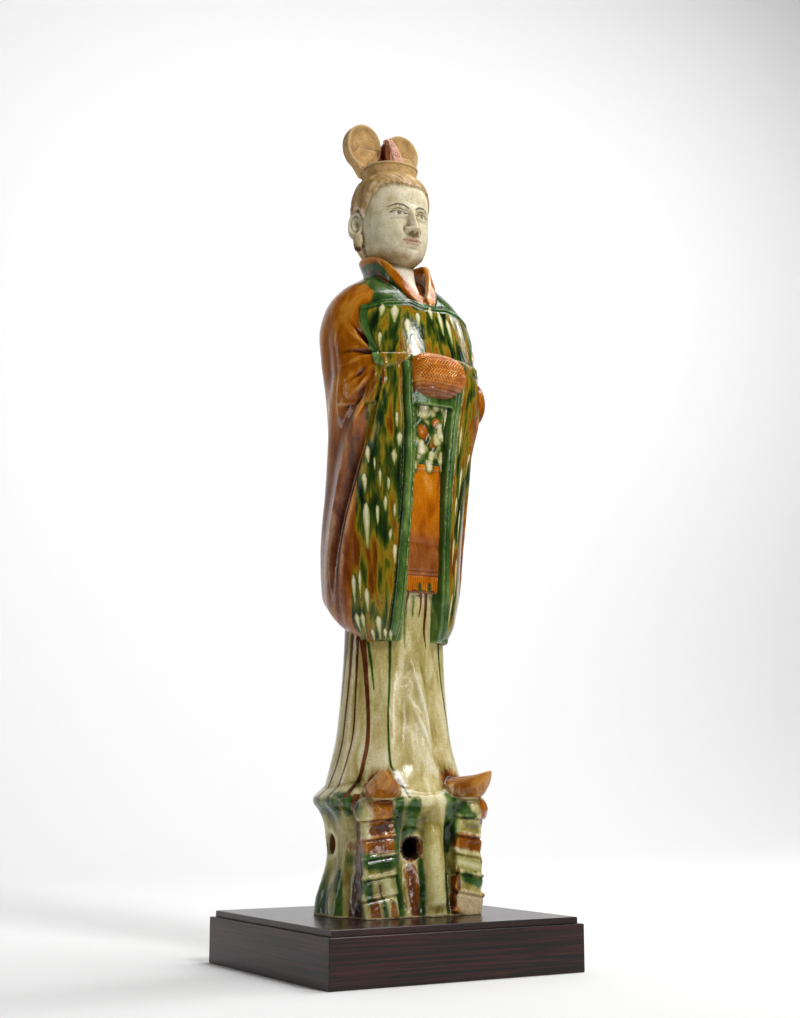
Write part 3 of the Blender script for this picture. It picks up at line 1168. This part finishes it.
# A line of slip along the yoke's seam, and drops of it on the chest and the sleeves: angle from the
# front, height of the upper end, length and half width.
YOKE_LINE = [(-74, -50, 852), (-74, -30, 864), (-69, -6, 878)]
DROPS = [
    (-44, 828, 18, 4.2), (-33, 826, 24, 6.0), (-22, 806, 22, 5.0), (-12, 818, 20, 3.8),
    (2, 828, 18, 4.0), (12, 824, 34, 4.0), (21, 816, 38, 4.2), (29, 826, 22, 3.4), (37, 818, 32, 3.2),
    (-44, 786, 22, 2.6),
    (-31, 672, 24, 2.2), (-29, 644, 20, 3.6), (-33, 618, 18, 3.8), (-54, 626, 22, 2.8), (-49, 612, 22, 1.8),
    (-58, 588, 26, 3.4), (-45, 596, 30, 2.0), (-38, 582, 20, 2.2), (-58, 548, 62, 5.0), (-48, 548, 34, 2.6),
    (-41, 556, 20, 3.0), (-33, 546, 20, 3.0), (-37, 514, 18, 2.8), (-33, 492, 26, 3.4), (-72, 452, 40, 3.4),
    (-66, 456, 38, 2.4), (-60, 432, 32, 3.8), (-72, 400, 26, 3.6), (-66, 400, 24, 3.4), (-50, 396, 30, 4.6),
    (-58, 378, 14, 3.6), (-44, 378, 14, 3.0), (-38, 376, 14, 3.4),
    (30, 660, 40, 2.4), (38, 610, 46, 3.8), (34, 566, 30, 2.8), (44, 548, 44, 2.8), (36, 508, 40, 2.8),
    (50, 630, 34, 2.4), (46, 480, 56, 3.4), (56, 450, 56, 3.4), (40, 430, 44, 3.0), (60, 410, 34, 3.0),
]
unrolled = np.stack([round_robe(degrees), 0 * z, z], axis=1)
drops = np.zeros(len(x))
for a, h, long, wide in DROPS:
    path = [(round_robe(a), 0, h - long * share) for share in (0, 0.2, 0.6, 1.0)]
    drop = brushed(unrolled, [(path, (wide * 0.5, wide * 1.15, wide * 1.05, wide * 0.7))])
    drops = np.maximum(drops, drop * (1 - 0.36 * ease(0.1, 1.0, (h - z) / long)))
drops *= (y < 20) * (1 - ease(-1, 1, 1.5 - edge_way) * (z < 740))
edge_lines = 0.6 * hump(edge_way - 0.6, 1.1) + 0.56 * hump(edge_way - 13.0, 1.0)
edge_lines *= (z < 738) & (inside < -1) & before_core(robe_points, 6)
wedge = 0.85 * brushed(robe_points, [(YOKE_LINE, (2.0, 2.6))])
panel = np.clip(np.maximum(panel_field, vest_field), 0, 1)
cream = np.maximum.reduce([drops, edge_lines, wedge])
glaze_fields(robe, amber=1.0, green=np.clip(green, 0, 1), brown=brown, panel=panel, cream=cream, burnt=burnt)
stand_in(robe, glaze_material("lead_glaze_amber_and_green"))


# The sash: a worked panel over a long apron that ends in a fringe, strips of clay laid in the channel
# between the sleeves. The panel is green and white, the apron amber, and the fringe is combed.


def strip_shell(rows):
    """A flat strip up the front of the robe. Rows: half width, height, how far it stands proud."""
    rings = []
    for half, z, proud in rows:
        front = curve_at(CORE, np.array(float(z)))[2]
        rings.append([(-half, front - proud + 1.5, z), (0, front - proud, z), (half, front - proud + 1.5, z),
                      (half, front + 14, z), (-half, front + 14, z)])
    return rings_shell(rings)


def even_rows(low, high, count=30):
    """Rows spaced evenly between two."""
    return [tuple(a + (b - a) * k / (count - 1) for a, b in zip(low, high)) for k in range(count)]


sash_shells = [
    strip_shell(even_rows((29, 598, 5.5), (30, 704, 6.0))),
    strip_shell(even_rows((29, 452, 5.0), (29, 602, 4.0))),
    strip_shell(even_rows((29, 429, 4.2), (29, 452, 4.2), 8)),
]
sash = lute("sash_and_apron", sash_shells, 1.0, 2)
points, normals = points_of(sash), normals_of(sash)
x, y, z = points.T
facing = normals[:, 1] < -0.4
lift = np.zeros(len(x))
# The panel's border, the apron's hem and creases, and the combed fringe.
lift += -1.3 * hump(np.abs(x) - 24, 1.0) * (z > 600)
lift += -1.3 * hump(z - 606, 1.0) - 1.3 * hump(z - 698, 1.0)
lift += -1.2 * hump(z - 453, 1.2) - 0.8 * hump(z - 459, 1.2)
lift += -0.9 * hump(z - 494 + x * 0.1, 6) + 0.7 * hump(z - 512 + x * 0.08, 7)
lift += 0.8 * np.sin(x * 2 * math.pi / 3.4) * (1 - ease(449, 452, z))
patches = np.sin(x / 4.1 + 1.0) * np.sin(z / 6.3) + 0.5 * np.sin(x / 2.7 - z / 5.1)
lift += 0.9 * patches * (z > 608) * (z < 696) * (np.abs(x) < 23)
raise_clay(sash, lift * facing)
store_ridges(sash, 8)
points = points_of(sash)
x, y, z = points.T
on_panel = z > 604
spots = [
    ([(-11, -92, 688), (-10, -90, 676)], (6, 9)),
    ([(9, -92, 692), (8, -90, 684)], (5, 6)),
    ([(16, -88, 660), (17, -88, 646)], (4, 6)),
    ([(12, -88, 644), (13, -88, 638)], (6, 7)),
    ([(-12, -86, 634), (-11, -86, 624)], (5, 7)),
    ([(5, -86, 620), (4, -86, 614)], (5, 5)),
    ([(21, -86, 622), (20, -86, 612)], (4, 5)),
    ([(26, -90, 700), (26, -84, 606)], (2.4, 2.6)),
    ([(-20, -84, 606), (-19, -84, 594)], (3, 4)),
    ([(2, -84, 606), (3, -84, 598)], (6, 5)),
    ([(25, -84, 604), (26, -80, 540)], (5, 1.5)),
]
rust = [
    ([(-12, -88, 652), (-8, -88, 644)], (6, 6)),
    ([(10, -88, 664), (14, -88, 658)], (5, 4)),
    ([(8, -86, 642), (6, -86, 632)], (4, 4)),
    ([(-16, -90, 684), (-16, -90, 668)], (2.5, 2)),
]
green_tips = [
    ([(-4, -66, 442), (-2, -66, 428)], (2.0, 4)),
    ([(12, -66, 442), (13, -66, 428)], (2, 3.5)),
]
off_rust = 1 - brushed(points, rust)
green = np.maximum(np.where(on_panel, 0.85, 0.0) * off_rust, brushed(points, green_tips))
# Between the spots the panel's green and white ran into each other.
mottle = 0.45 + 0.13 * np.sin(x / 3.1 + 0.6) * np.sin(z / 5.3) + 0.07 * np.sin(z / 2.9 + x / 4)
mottle = np.where(on_panel & (np.abs(x) < 25), mottle, 0)
cream = np.maximum(brushed(points, spots), mottle * off_rust)
brown = np.where(z < 432.5 + 1.3 * np.sin(x / 2.3), 0.8, 0)
burnt = 0.75 * (1 - ease(478, 540, z)) * (z > 452)
glaze_fields(sash, amber=1.0, green=green, brown=brown, cream=cream, burnt=burnt)
# Amber laid thin, which came out orange.
ORANGE = [(0.14, "#e9ab58"), (0.36, "#d67f0c"), (0.56, "#bb6402"), (0.85, "#642c00")]
stand_in(sash, glaze_material("lead_glaze_sash", run_length=26.0, amber_stops=ORANGE))


# The muff: both cuffs drawn together over the folded hands. A fat roll of clay, scored all over with
# short strokes of a wooden tool, then glazed amber, which lies dark in the scores.

half_length, muff_rings = 43, []
for t in np.linspace(-1, 1, 90):
    swell = (1 - abs(t) ** 5) ** 0.5 if abs(t) < 1 else 0.02
    a = np.linspace(0, 2 * math.pi, 120, endpoint=False)
    depth, height = 22 * max(swell, 0.03), 26 * max(swell, 0.03)
    centre = np.array((4 + t * half_length, -104 + 5 * t * t, 730 - 2.5 * t - 3 * t * t))
    ring = [np.full(120, centre[0]), centre[1] + depth * np.cos(a), centre[2] + height * np.sin(a)]
    muff_rings.append(np.stack(ring, axis=-1))
muff = lute("muff", [rings_shell(muff_rings), ball_shell((3, -98, 710), (36, 20, 17))], 0.75, 2)
points, normals = points_of(muff), normals_of(muff)
x, y, z = points.T
roll = np.degrees(np.arctan2(z - 730, -(y + 104)))
band = roll / 19.0
row = np.floor(band)
way = np.where(row % 2 == 0, 1.0, -1.0)
pitch = 4.6
stroke = ((x + way * (band - row) * 6.5) / pitch) % 1.0
scored = hump(stroke - 0.5, 0.2) * hump(band - row - 0.5, 0.44, 6)
on_roll = (z > 709) & (roll > -45) & (roll < 125) & (np.abs(x - 4) < 41)
lift = -1.9 * scored * on_roll
for place in (701, 706, 711):
    lift += -0.8 * hump(z - place + 0.05 * x, 1.0) * (normals[:, 1] < 0)
raise_clay(muff, lift)
store_ridges(muff, 6)
brown = 0.42 * scored * on_roll + 0.2 * (1 - ease(700, 710, z))
glaze_fields(muff, amber=1.0, brown=brown, burnt=0.9 * (1 - ease(702, 716, z)))
stand_in(muff, glaze_material("lead_glaze_muff", run_length=16.0, amber_stops=ORANGE))


# The head and neck: the one part left unglazed. Fired clay brushed with white slip after firing and
# painted by hand, now worn and dirty. The face is a calm plain one on a modeller's usual proportions.

NECK = [
    (828, 0, 8, -66, 30),
    (845, 4, 16, -60, 36),
    (865, 8, 24, -48, 40),
    (885, 12, 29, -30, 44),
    (905, 14, 31, -19, 46),
    (945, 18, 32, -14, 50),
]
HEAD = [
    (909, 2, 16, -20, 16),
    (915, 4, 27, -34, 34),
    (925, 6, 37, -41, 48),
    (942, 10, 45, -43, 64),
    (965, 14, 49, -42, 79),
    (990, 16, 51, -41, 82),
    (1015, 18, 51, -38, 82),
    (1035, 20, 46, -28, 77),
    (1048, 21, 37, -14, 66),
    (1056, 22, 24, 4, 48),
]
CHIN, HAIRLINE = 914, 1024


def face_height(share):
    """The height of a feature, as a share of the way from chin to hairline."""
    return CHIN + share * (HAIRLINE - CHIN)


head_shells = [mass_shell(NECK, (1.9, 2.1), step=1.0), mass_shell(HEAD, (2.1, 2.1), step=1.0, around=300)]
for side in (-1, 1):
    turn = turn_about("Z", side * -34) @ turn_about("X", 8)
    head_shells.append(ball_shell((side * 54, 27, 974), (4.6, 13.5, 21), turn))
    head_shells.append(ball_shell((side * 53, 23, 949), (5, 7.5, 13), turn))
head_shells.append(ball_shell((-54.5, 20, 938), (5.5, 6, 5.5)))
head = lute("head_and_neck", head_shells, 1.06, 3)


def bump_at(x, z, place, size, power=2.0):
    """A soft rounded patch, 1 at its middle."""
    far = (np.abs(x - place[0]) / size[0]) ** power + (np.abs(z - place[1]) / size[1]) ** power
    return np.exp(-far)


points, normals = points_of(head), normals_of(head)
x, y, z = points.T
facing = ease(0.15, 0.6, -normals[:, 1]) * (y < 8) * ease(896, 908, z)
ax = np.abs(x)
eye, nose, mouth, brow = (face_height(s) for s in (0.60, 0.37, 0.22, 0.70))
out = np.zeros(len(x))
# The nose, from its root to the tip and the wings.
bridge_heights = [nose - 7, nose - 4.5, nose, nose + 10, eye, brow - 2, brow + 6]
bridge = np.interp(z, bridge_heights, [0, 9, 15, 11.5, 5.5, 2.4, 0])
bridge_width = np.interp(z, [nose - 5, nose + 3, nose + 14, eye, brow], [6.4, 6.0, 4.8, 4.4, 7])
out += bridge * hump(ax, bridge_width, 2.4)
out += 5.6 * bump_at(ax, z, (7.8, nose - 0.6), (3.8, 4.0), 2.6)
out -= 1.6 * bump_at(ax, z, (13.4, nose + 1), (2.2, 5))
# The sockets, the lids and the balls of the eyes.
out -= 4.6 * bump_at(ax, z, (18.5, eye + 1), (12, 8.5))
out += 4.4 * bump_at(ax, z, (19.5, eye - 0.3), (10.5, 5.4), 2.6)
out += 1.5 * bump_at(ax, z, (21, brow), (15, 3.8))
# The cheeks, the lips and the chin.
out += 2.4 * bump_at(ax, z, (26, nose + 1), (14, 15))
out += 2.4 * bump_at(ax, z, (0, mouth), (17, 11))
upper_lip = mouth + 2.8 - 0.012 * ax**2 - 0.9 * hump(ax, 2.2) + 0.8 * hump(ax - 5, 3)
out += 2.4 * hump(z - upper_lip, 2.2) * (1 - ease(10, 15, ax))
out += 3.0 * hump(z - mouth + 3.8 - 0.014 * ax**2, 2.7) * (1 - ease(8, 13, ax))
mouth_line = mouth - 0.3 + 0.006 * ax**2 - 0.5 * hump(ax, 3.0)
out -= 2.3 * hump(z - mouth_line, 1.05) * (1 - ease(13, 17, ax))
out -= 1.2 * bump_at(ax, z, (0, (nose + mouth) / 2 + 0.5), (2.2, 5))
out -= 1.8 * bump_at(ax, z, (0, mouth - 10.5), (11, 3.2))
out += 4.2 * bump_at(ax, z, (0, face_height(0.055)), (13, 9))
points[:, 1] -= out * facing
put_points(head, points)

# Lid creases, nostrils, the ears' rims and hollows, and the painted hair's raised edge.
points, normals = points_of(head), normals_of(head)
x, y, z = points.T
ax = np.abs(x)


def lid_height(ax, rise):
    """A lid's line: an arc over the eye that meets the other lid at both corners."""
    t = np.clip((ax - 19.5) / 12, -1, 1)
    return eye + 0.045 * (ax - 19.5) + rise * (1 - t**2)


near_eye = (ax > 7) & (ax < 32) & (y < 0)
upper, under, crease = lid_height(ax, 4.3), lid_height(ax, -3.2), lid_height(ax, 7.4)
lift = np.zeros(len(x))
lift += 1.2 * hump(z - upper - 0.9, 1.3) * near_eye - 1.4 * hump(z - crease, 1.0) * near_eye
lift += 0.8 * hump(z - under + 0.9, 1.2) * near_eye
lift -= 1.1 * ((z < upper) & (z > under) & (ax > 8.5) & (ax < 30.5) & near_eye)
lift -= 3.0 * bump_at(ax, z, (4.6, nose - 5.2), (2.6, 1.8)) * (y < -35)
angle = np.degrees(np.arctan2(ax, -(y - 18)))
hair_angles = [0, 30, 48, 60, 70, 78, 84, 100, 180]
hairline = np.interp(angle, hair_angles, [1025, 1027, 1023, 1012, 1000, 990, 962, 926, 916])
hair = z - hairline - 0.9 * np.sin(x * 0.9) - 0.6 * np.sin(x * 0.37 + z * 0.2)
ear = (ax > 44) & (np.hypot((y - 24) / 16, (z - 966) / 33) < 1)
hair = np.where(ear, -8, hair)
lift += (3.2 + 1.6 * ease(2, 12, hair) * ease(40, 0, z - 1024)) * ease(-0.8, 1.6, hair)
lift += 0.5 * rough_out(points, 8, 7) * ease(0, 3, hair)
ear_y, ear_z = ((y - 27) * 0.83 + (ax - 54) * 0.56) / 12.5, (z - 976) / 19.5
ear_far = np.sqrt(ear_y**2 + ear_z**2)
outward = ease(0.3, 0.75, 0.83 * np.sign(x) * normals[:, 0] - 0.56 * normals[:, 1]) * (ax > 45) * (y > 10)
ear_hollow = hump(ear_y + 0.15, 0.42) * hump(ear_z + 0.1, 0.5)
lift += (1.6 * hump(ear_far - 0.84, 0.12) - 4.6 * ear_hollow) * outward * (z > 956)
lift -= 1.4 * hump(ear_far - 0.62, 0.12) * outward * (ear_y > -0.4) * (z > 960)
raise_clay(head, lift)
store_ridges(head, 8)
points = points_of(head)
x, y, z = points.T
ax = np.abs(x)
near_eye = (ax > 6) & (ax < 33) & (y < 4)
store(head, "hair", np.clip(0.5 + hair / 4, 0, 1))
brow_line = np.interp(ax, [5, 12, 22, 33], [brow - 3.5, brow + 1.2, brow + 2.8, brow - 1.5])
brow_width = np.interp(ax, [5, 12, 24, 34], [1.1, 2.1, 1.9, 0.6])
brows = (1 - 0.5 * np.abs(z - brow_line) / brow_width) * (ax > 5) * (ax < 34) * (y < 4)
lid_line = (1 - 0.5 * np.abs(z - upper + 0.2) / 0.9) * (ax > 8) * (ax < 32) * near_eye
crease_line = (0.9 - 0.5 * np.abs(z - crease) / 0.5) * (ax > 10) * (ax < 30) * near_eye
low_line = (0.8 - 0.5 * np.abs(z - under) / 0.55) * (ax > 9) * (ax < 30) * near_eye
iris_far = np.hypot(ax - 19.0, (z - eye - 0.4) * 1.0)
iris = (1 - 0.5 * iris_far / 3.0) * (z < upper + 0.3) * (z > under) * near_eye
store(head, "ink", np.clip(np.maximum.reduce([brows * 0.88, lid_line, crease_line, low_line, iris]), 0, 1))
lips = np.where(z > mouth_line, upper_lip + 1.8 - z, z - (mouth - 6.2 + 0.026 * ax**2))
lips = np.minimum(lips, (14.0 - ax) * 0.5)
store(head, "lips", np.clip(0.5 + lips / 3.0, 0, 1) * (y < -20))
under_nose = 1 - 0.5 * np.sqrt(((ax - 2) / 9) ** 2 + ((z - nose + 6) / 3.2) ** 2)
jaw = np.clip(0.5 + (914 + 0.5 * ax - z) / 14, 0, 1) * (y < 60) * ease(0, 6, z - 904)
behind = ease(40, 49, ax) * (y < 30) * (1 - ease(930, 985, z)) * 0.7
lobe_mark = 1 - 0.5 * np.sqrt(((ax - 56) / 6) ** 2 + ((y - 19) / 7) ** 2 + ((z - 936) / 5.5) ** 2)
store(head, "grime", np.clip(np.maximum.reduce([jaw * 0.6, behind, under_nose * (y < -30) * 0.6]), 0, 1))
store(head, "neck", ease(912, 900, z) * (y < 10))
store(head, "lobe", np.clip(lobe_mark, 0, 1))

slip, shader, mm = new_material("white_slip_on_bisque", Roughness=0.62, IOR=1.45, Specular_IOR_Level=0.35)
# White slip: chalky and matt, worn thin over buff clay, with ingrained dirt in specks of 1 to 3 mm.
cloud = noise_at(slip, mm, (16, 16, 20), detail=4)
speck = noise_at(slip, mm, (2.4, 2.4, 2.4), detail=3, roughness=0.6)
grain = noise_at(slip, mm, (0.9, 0.9, 0.9), detail=2)


def slip_field(label, low, high, noise):
    """Where a painted field shows, its edge broken up by the grain."""
    broken = stir(slip, stored(slip, label), speck, noise)
    return between(slip, broken, low, high)


skin = ramp(slip, cloud, [(0.30, "#c2b184"), (0.50, "#d9cdaa"), (0.72, "#ece3c8")])
clean = stored(slip, "neck")
skin = blend_colours(slip, number(slip, "MULTIPLY", clean, 0.8), skin, hex_colour("#fbf2de"))
dirt = ramp(slip, speck, [(0.60, "#ffffff"), (0.70, "#a8916c"), (0.80, "#6d5638")])
colour = blend_colours(slip, 0.8, skin, dirt, "MULTIPLY")
hollows = stored(slip, "ridge")
sunk = number(slip, "MULTIPLY", hollows, -1.6, clamp=True)
colour = blend_colours(slip, sunk, colour, hex_colour("#8d7a55"))
for label, low, high, noise, share, paint in (
    ("grime", 0.25, 0.95, 0.4, 1.0, "#96783f"),
    ("lips", 0.35, 0.70, 0.2, 0.62, "#bd8570"),
    ("ink", 0.42, 0.62, 0.25, 0.82, "#3c3a30"),
):
    mark = number(slip, "MULTIPLY", slip_field(label, low, high, noise), share)
    colour = blend_colours(slip, mark, colour, hex_colour(paint))
paint = ramp(slip, cloud, [(0.32, "#92723f"), (0.5, "#b6925a"), (0.66, "#cfae72")])
flaked = ramp(slip, speck, [(0.56, "#ffffff"), (0.64, "#efe3c8")])
paint = blend_colours(slip, 0.9, paint, flaked, "MULTIPLY")
high = number(slip, "MULTIPLY_ADD", hollows, 0.5, number(slip, "SUBTRACT", cloud, 0.30))
flakes = between(slip, high, 0.34, 0.52, "LINEAR")
paint = blend_colours(slip, flakes, paint, hex_colour("#d8bfa6"))
colour = blend_colours(slip, slip_field("hair", 0.42, 0.58, 0.2), colour, paint)
colour = blend_colours(slip, slip_field("lobe", 0.45, 0.7, 0.3), colour, hex_colour("#5a3820"))
slip.node_tree.links.new(colour, shader.inputs["Base Color"])
set_bump(slip, shader, number(slip, "MULTIPLY_ADD", grain, 0.4, speck), 0.0005, 0.6)
stand_in(head, slip)


# The crown: an official's hat, unglazed and painted tan. A band like a shallow cup holds two round
# upright lobes at the back, joined by a dark red wall, and a pink scrolled tab leans against them.

CROWN_BAND = [
    (1040, 24, 40, -18, 66),
    (1052, 24, 39, -16, 64),
    (1062, 24, 40, -16.5, 64),
    (1068, 24, 42, -18, 65),
]
# Each lobe: how far out, height of its middle, half width and half height.
LOBES = {-1: (35, 1105.6, 29.0, 34.0), 1: (29, 1104, 30.0, 31.0)}
LOBE_FACE, LOBE_THICKNESS, CROWN_SLOT = 36.0, 19.0, 15.0


def lobe_shell(side):
    """A disc stood on edge, its face dished inside a raised rim."""
    out, up, wide, tall = LOBES[side]
    a = np.linspace(0, 2 * math.pi, 120, endpoint=False)
    rings = []
    dished = [(0.06, 2.4), (0.7, 2.2), (0.84, 1.2), (0.92, 0), (0.98, 0.8), (1.0, 3)]
    flat = [(1.0, -3), (0.97, -0.6), (0.9, 0), (0.06, 0)]
    profile = [(share, LOBE_FACE + deep) for share, deep in dished]
    profile += [(share, LOBE_FACE + LOBE_THICKNESS + deep) for share, deep in flat]
    for share, y in profile:
        across, upward = wide * share * np.cos(a), tall * share * np.sin(a)
        rings.append(np.stack([side * out + across, np.full(120, y), up + upward], axis=-1))
    return rings_shell(rings)


def slab_shell(outline, near, far):
    """A flat slab: an outline in X and Z, drawn from near to far."""
    return rings_shell([[(x, y, z) for x, z in outline] for y in (near, far)])


crown_shells = [mass_shell(CROWN_BAND, (2.2, 2.2), step=1.0)]
for side in (-1, 1):
    crown_shells.append(lobe_shell(side))
    outline = ((CROWN_SLOT, 1060), (36, 1060), (56, 1088), (44, 1100), (CROWN_SLOT, 1100))
    root = [(side * x, z) for x, z in outline]
    crown_shells.append(slab_shell(root, LOBE_FACE + 1, LOBE_FACE + LOBE_THICKNESS - 1))
wall = [(-30, 1058), (30, 1058), (30, 1110), (-30, 1110)]
crown_shells.append(slab_shell(wall, LOBE_FACE + LOBE_THICKNESS - 8, LOBE_FACE + LOBE_THICKNESS - 0.5))
crown = lute("crown", crown_shells, 1.0, 2)
x, y, z = points_of(crown).T
lift = -1.0 * hump(z - 1064, 0.9) * (y < 30) + 0.5 * hump(z - 1050, 2.0)
raise_clay(crown, lift)
store_ridges(crown, 8)
x, y, z = points_of(crown).T
slot_edge = np.interp(z, [1060, 1080, 1100, 1118], [17, 16, 12, 10])
slot = np.clip(0.5 + (slot_edge - np.abs(x)) / 3, 0, 1) * (z > 1060)
behind_face = np.maximum(ease(LOBE_FACE + 1, LOBE_FACE + 4, y), (y > 30) * (np.abs(x - 1) < 9))
store(crown, "slot", slot * behind_face * (y < LOBE_FACE + LOBE_THICKNESS - 2))

matt = {"Roughness": 0.7, "IOR": 1.45, "Specular_IOR_Level": 0.3}
tan_paint, shader, mm = new_material("tan_pigment_on_bisque", **matt)
# Earth pigment in glue over slip: dead matt, rubbed pale on its edges and dusty in its corners.
cloud = noise_at(tan_paint, mm, (14, 14, 14), detail=4)
brushwork = noise_at(tan_paint, mm, (3, 3, 10), detail=3)
speck = noise_at(tan_paint, mm, (1.8, 1.8, 1.8), detail=3)
tan = ramp(tan_paint, cloud, [(0.30, "#b08c56"), (0.52, "#cca66c"), (0.72, "#dfbf88")])
worn = ramp(tan_paint, speck, [(0.42, "#ffffff"), (0.60, "#d9c7a6"), (0.74, "#8f7448")])
colour = blend_colours(tan_paint, 0.55, tan, worn, "MULTIPLY")
high = stored(tan_paint, "ridge")
rubbed = number(tan_paint, "MULTIPLY", high, 0.6, clamp=True)
colour = blend_colours(tan_paint, rubbed, colour, hex_colour("#d9c298"))
sunk = number(tan_paint, "MULTIPLY", high, -1.9, clamp=True)
colour = blend_colours(tan_paint, sunk, colour, hex_colour("#6e5430"))
slot_field = stored(tan_paint, "slot")
red_wall = ramp(tan_paint, brushwork, [(0.3, "#5e2c0e"), (0.7, "#7e421a")])
in_slot = between(tan_paint, slot_field, 0.42, 0.58, "LINEAR")
colour = blend_colours(tan_paint, in_slot, colour, red_wall)
tan_paint.node_tree.links.new(colour, shader.inputs["Base Color"])
set_bump(tan_paint, shader, number(tan_paint, "MULTIPLY_ADD", brushwork, 0.5, speck), 0.0006, 0.6)
stand_in(crown, tan_paint)

# The tab, a rolled tongue of clay with two small scrolls pressed in its face.
TAB = [(-9, 1062), (-7, 1070), (-2, 1082), (4, 1094), (10, 1104), (16, 1111), (21, 1110)]
tab_line = curve_at([(i, *p) for i, p in enumerate(TAB)], np.linspace(0, len(TAB) - 1, 60))
rings = []
for k, (y, z) in enumerate(tab_line):
    t = k / 59
    half = 7.0 + 1.5 * math.sin(t * math.pi * 2.2)
    along = tab_line[min(k + 1, 59)] - tab_line[max(k - 1, 0)]
    along = along / np.linalg.norm(along)
    a = np.linspace(0, 2 * math.pi, 40, endpoint=False)
    across = half * np.sign(np.cos(a)) * np.abs(np.cos(a)) ** 0.6
    deep = 3.2 * np.sign(np.sin(a)) * np.abs(np.sin(a)) ** 0.8
    rings.append(np.stack([across - 2 - 3.5 * t, y + deep * along[1], z - deep * along[0]], axis=-1))
tab = lute("crown_tab", [rings_shell(rings)], 0.55, 2)
points, normals = points_of(tab), normals_of(tab)
x, y, z = points.T
for place, turn in ((1104, 1), (1084, -1)):
    middle = -2 - 3.5 * (place - 1062) / 48
    far, spin = np.hypot(x - middle, z - place), np.arctan2(z - place, x - middle) * turn
    spiral = (far / 3.1 - spin / (2 * math.pi)) % 1.0
    points += normals * (-0.9 * hump(spiral - 0.5, 0.2) * (far < 6.8) * (normals[:, 1] < 0))[:, None]
put_points(tab, points)
store_ridges(tab, 6)
pink, shader, mm = new_material("pink_pigment_on_bisque", Roughness=0.62, IOR=1.45)
# Pink pigment, worn to white slip on the high places of the scrolls.
high = stored(pink, "ridge")
shade = number(pink, "MULTIPLY_ADD", high, 1.1, 0.5, clamp=True)
shade = stir(pink, shade, noise_at(pink, mm, (2, 2, 2)), 0.7)
colour = ramp(pink, shade, [(0.15, "#7c3f26"), (0.45, "#b36f54"), (0.75, "#cf9a82"), (0.95, "#e6cdb8")])
pink.node_tree.links.new(colour, shader.inputs["Base Color"])
stand_in(tab, pink)


# The room: a white paper sweep. A softbox high in front throws a faint shadow behind and to the left,
# a small low one fills in below it, and a tall narrow panel at the back left edges the glaze. Two
# banks overhead light the floor and the paper.

floor_mesh = bpy.data.meshes.new("studio_floor")
sweep = [(-4.0, 0.0), (2.2, 0.0)]
bend = np.linspace(0.1, math.pi / 2, 12)
sweep += [(2.2 + 1.2 * math.sin(a), 1.2 - 1.2 * math.cos(a)) for a in bend]
sweep += [(3.4, 4.8)]
floor_points = [(x, y, z) for y, z in sweep for x in (-6.0, 6.0)]
floor_faces = [(2 * i, 2 * i + 1, 2 * i + 3, 2 * i + 2) for i in range(len(sweep) - 1)]
floor_mesh.from_pydata(floor_points, [], floor_faces)
floor_mesh.shade_smooth()
studio_floor = bpy.data.objects.new("studio_floor", floor_mesh)
bpy.context.scene.collection.objects.link(studio_floor)
# Matt white paper, so that the glaze is all that shines.
paper = new_material("white_paper_sweep", Base_Color=hex_colour("#fbfbfb"), Roughness=0.9)[0]
floor_mesh.materials.append(paper)


def soft_light(name, place, target, size, power):
    """A softbox, its face turned to the target."""
    lamp = bpy.data.lights.new(name, "AREA")
    lamp.shape = "RECTANGLE"
    lamp.size, lamp.size_y = size
    lamp.energy = power
    made = bpy.data.objects.new(name, lamp)
    made.location = place
    made.rotation_euler = (Vector(target) - Vector(place)).to_track_quat("-Z", "Y").to_euler()
    bpy.context.scene.collection.objects.link(made)
    return made


soft_light("key_softbox", (0.25, -2.3, 2.45), (0, 0, 0.75), (0.5, 0.8), 43)
soft_light("low_softbox", (0.4, -2.8, 0.9), (0, 0, 0.6), (0.6, 0.6), 9)
soft_light("left_panel", (-2.1, 1.1, 1.0), (0, 0, 0.7), (0.25, 1.9), 6)
soft_light("overhead_bank", (0.9, -0.4, 3.0), (0.3, 0.0, 0.4), (1.2, 1.2), 30)
soft_light("backdrop_bank", (2.4, 0.4, 3.2), (2.0, 3.3, 1.4), (5.0, 1.0), 112)
room = bpy.data.worlds.new("studio_white")
room.use_nodes = True
background = room.node_tree.nodes["Background"]
background.inputs["Color"].default_value = hex_colour("#ffffff")
background.inputs["Strength"].default_value = 0.05
bpy.context.scene.world = room
bpy.context.scene.view_settings.view_transform = "Standard"


# The camera stands low, in front and to the figure's right, and looks a little up. Its place and lens
# were fitted to the corners of the stand and to the heights up the figure.

CAMERA_PLACE = Vector((-1.0923, -1.8603, 0.2487))
CAMERA_TURN, CAMERA_PITCH = math.radians(-30.70), math.radians(9.906)
right = Vector((math.cos(CAMERA_TURN), math.sin(CAMERA_TURN), 0))
level = math.cos(CAMERA_PITCH)
ahead = Vector((-math.sin(CAMERA_TURN) * level, math.cos(CAMERA_TURN) * level, math.sin(CAMERA_PITCH)))
lens = bpy.data.cameras.new("camera")
lens.lens = 54.8
lens.sensor_width = 36
camera = bpy.data.objects.new("camera", lens)
looking = Matrix((right, right.cross(ahead), -ahead)).transposed().to_4x4()
camera.matrix_world = Matrix.Translation(CAMERA_PLACE) @ looking
bpy.context.scene.collection.objects.link(camera)
bpy.context.scene.camera = camera
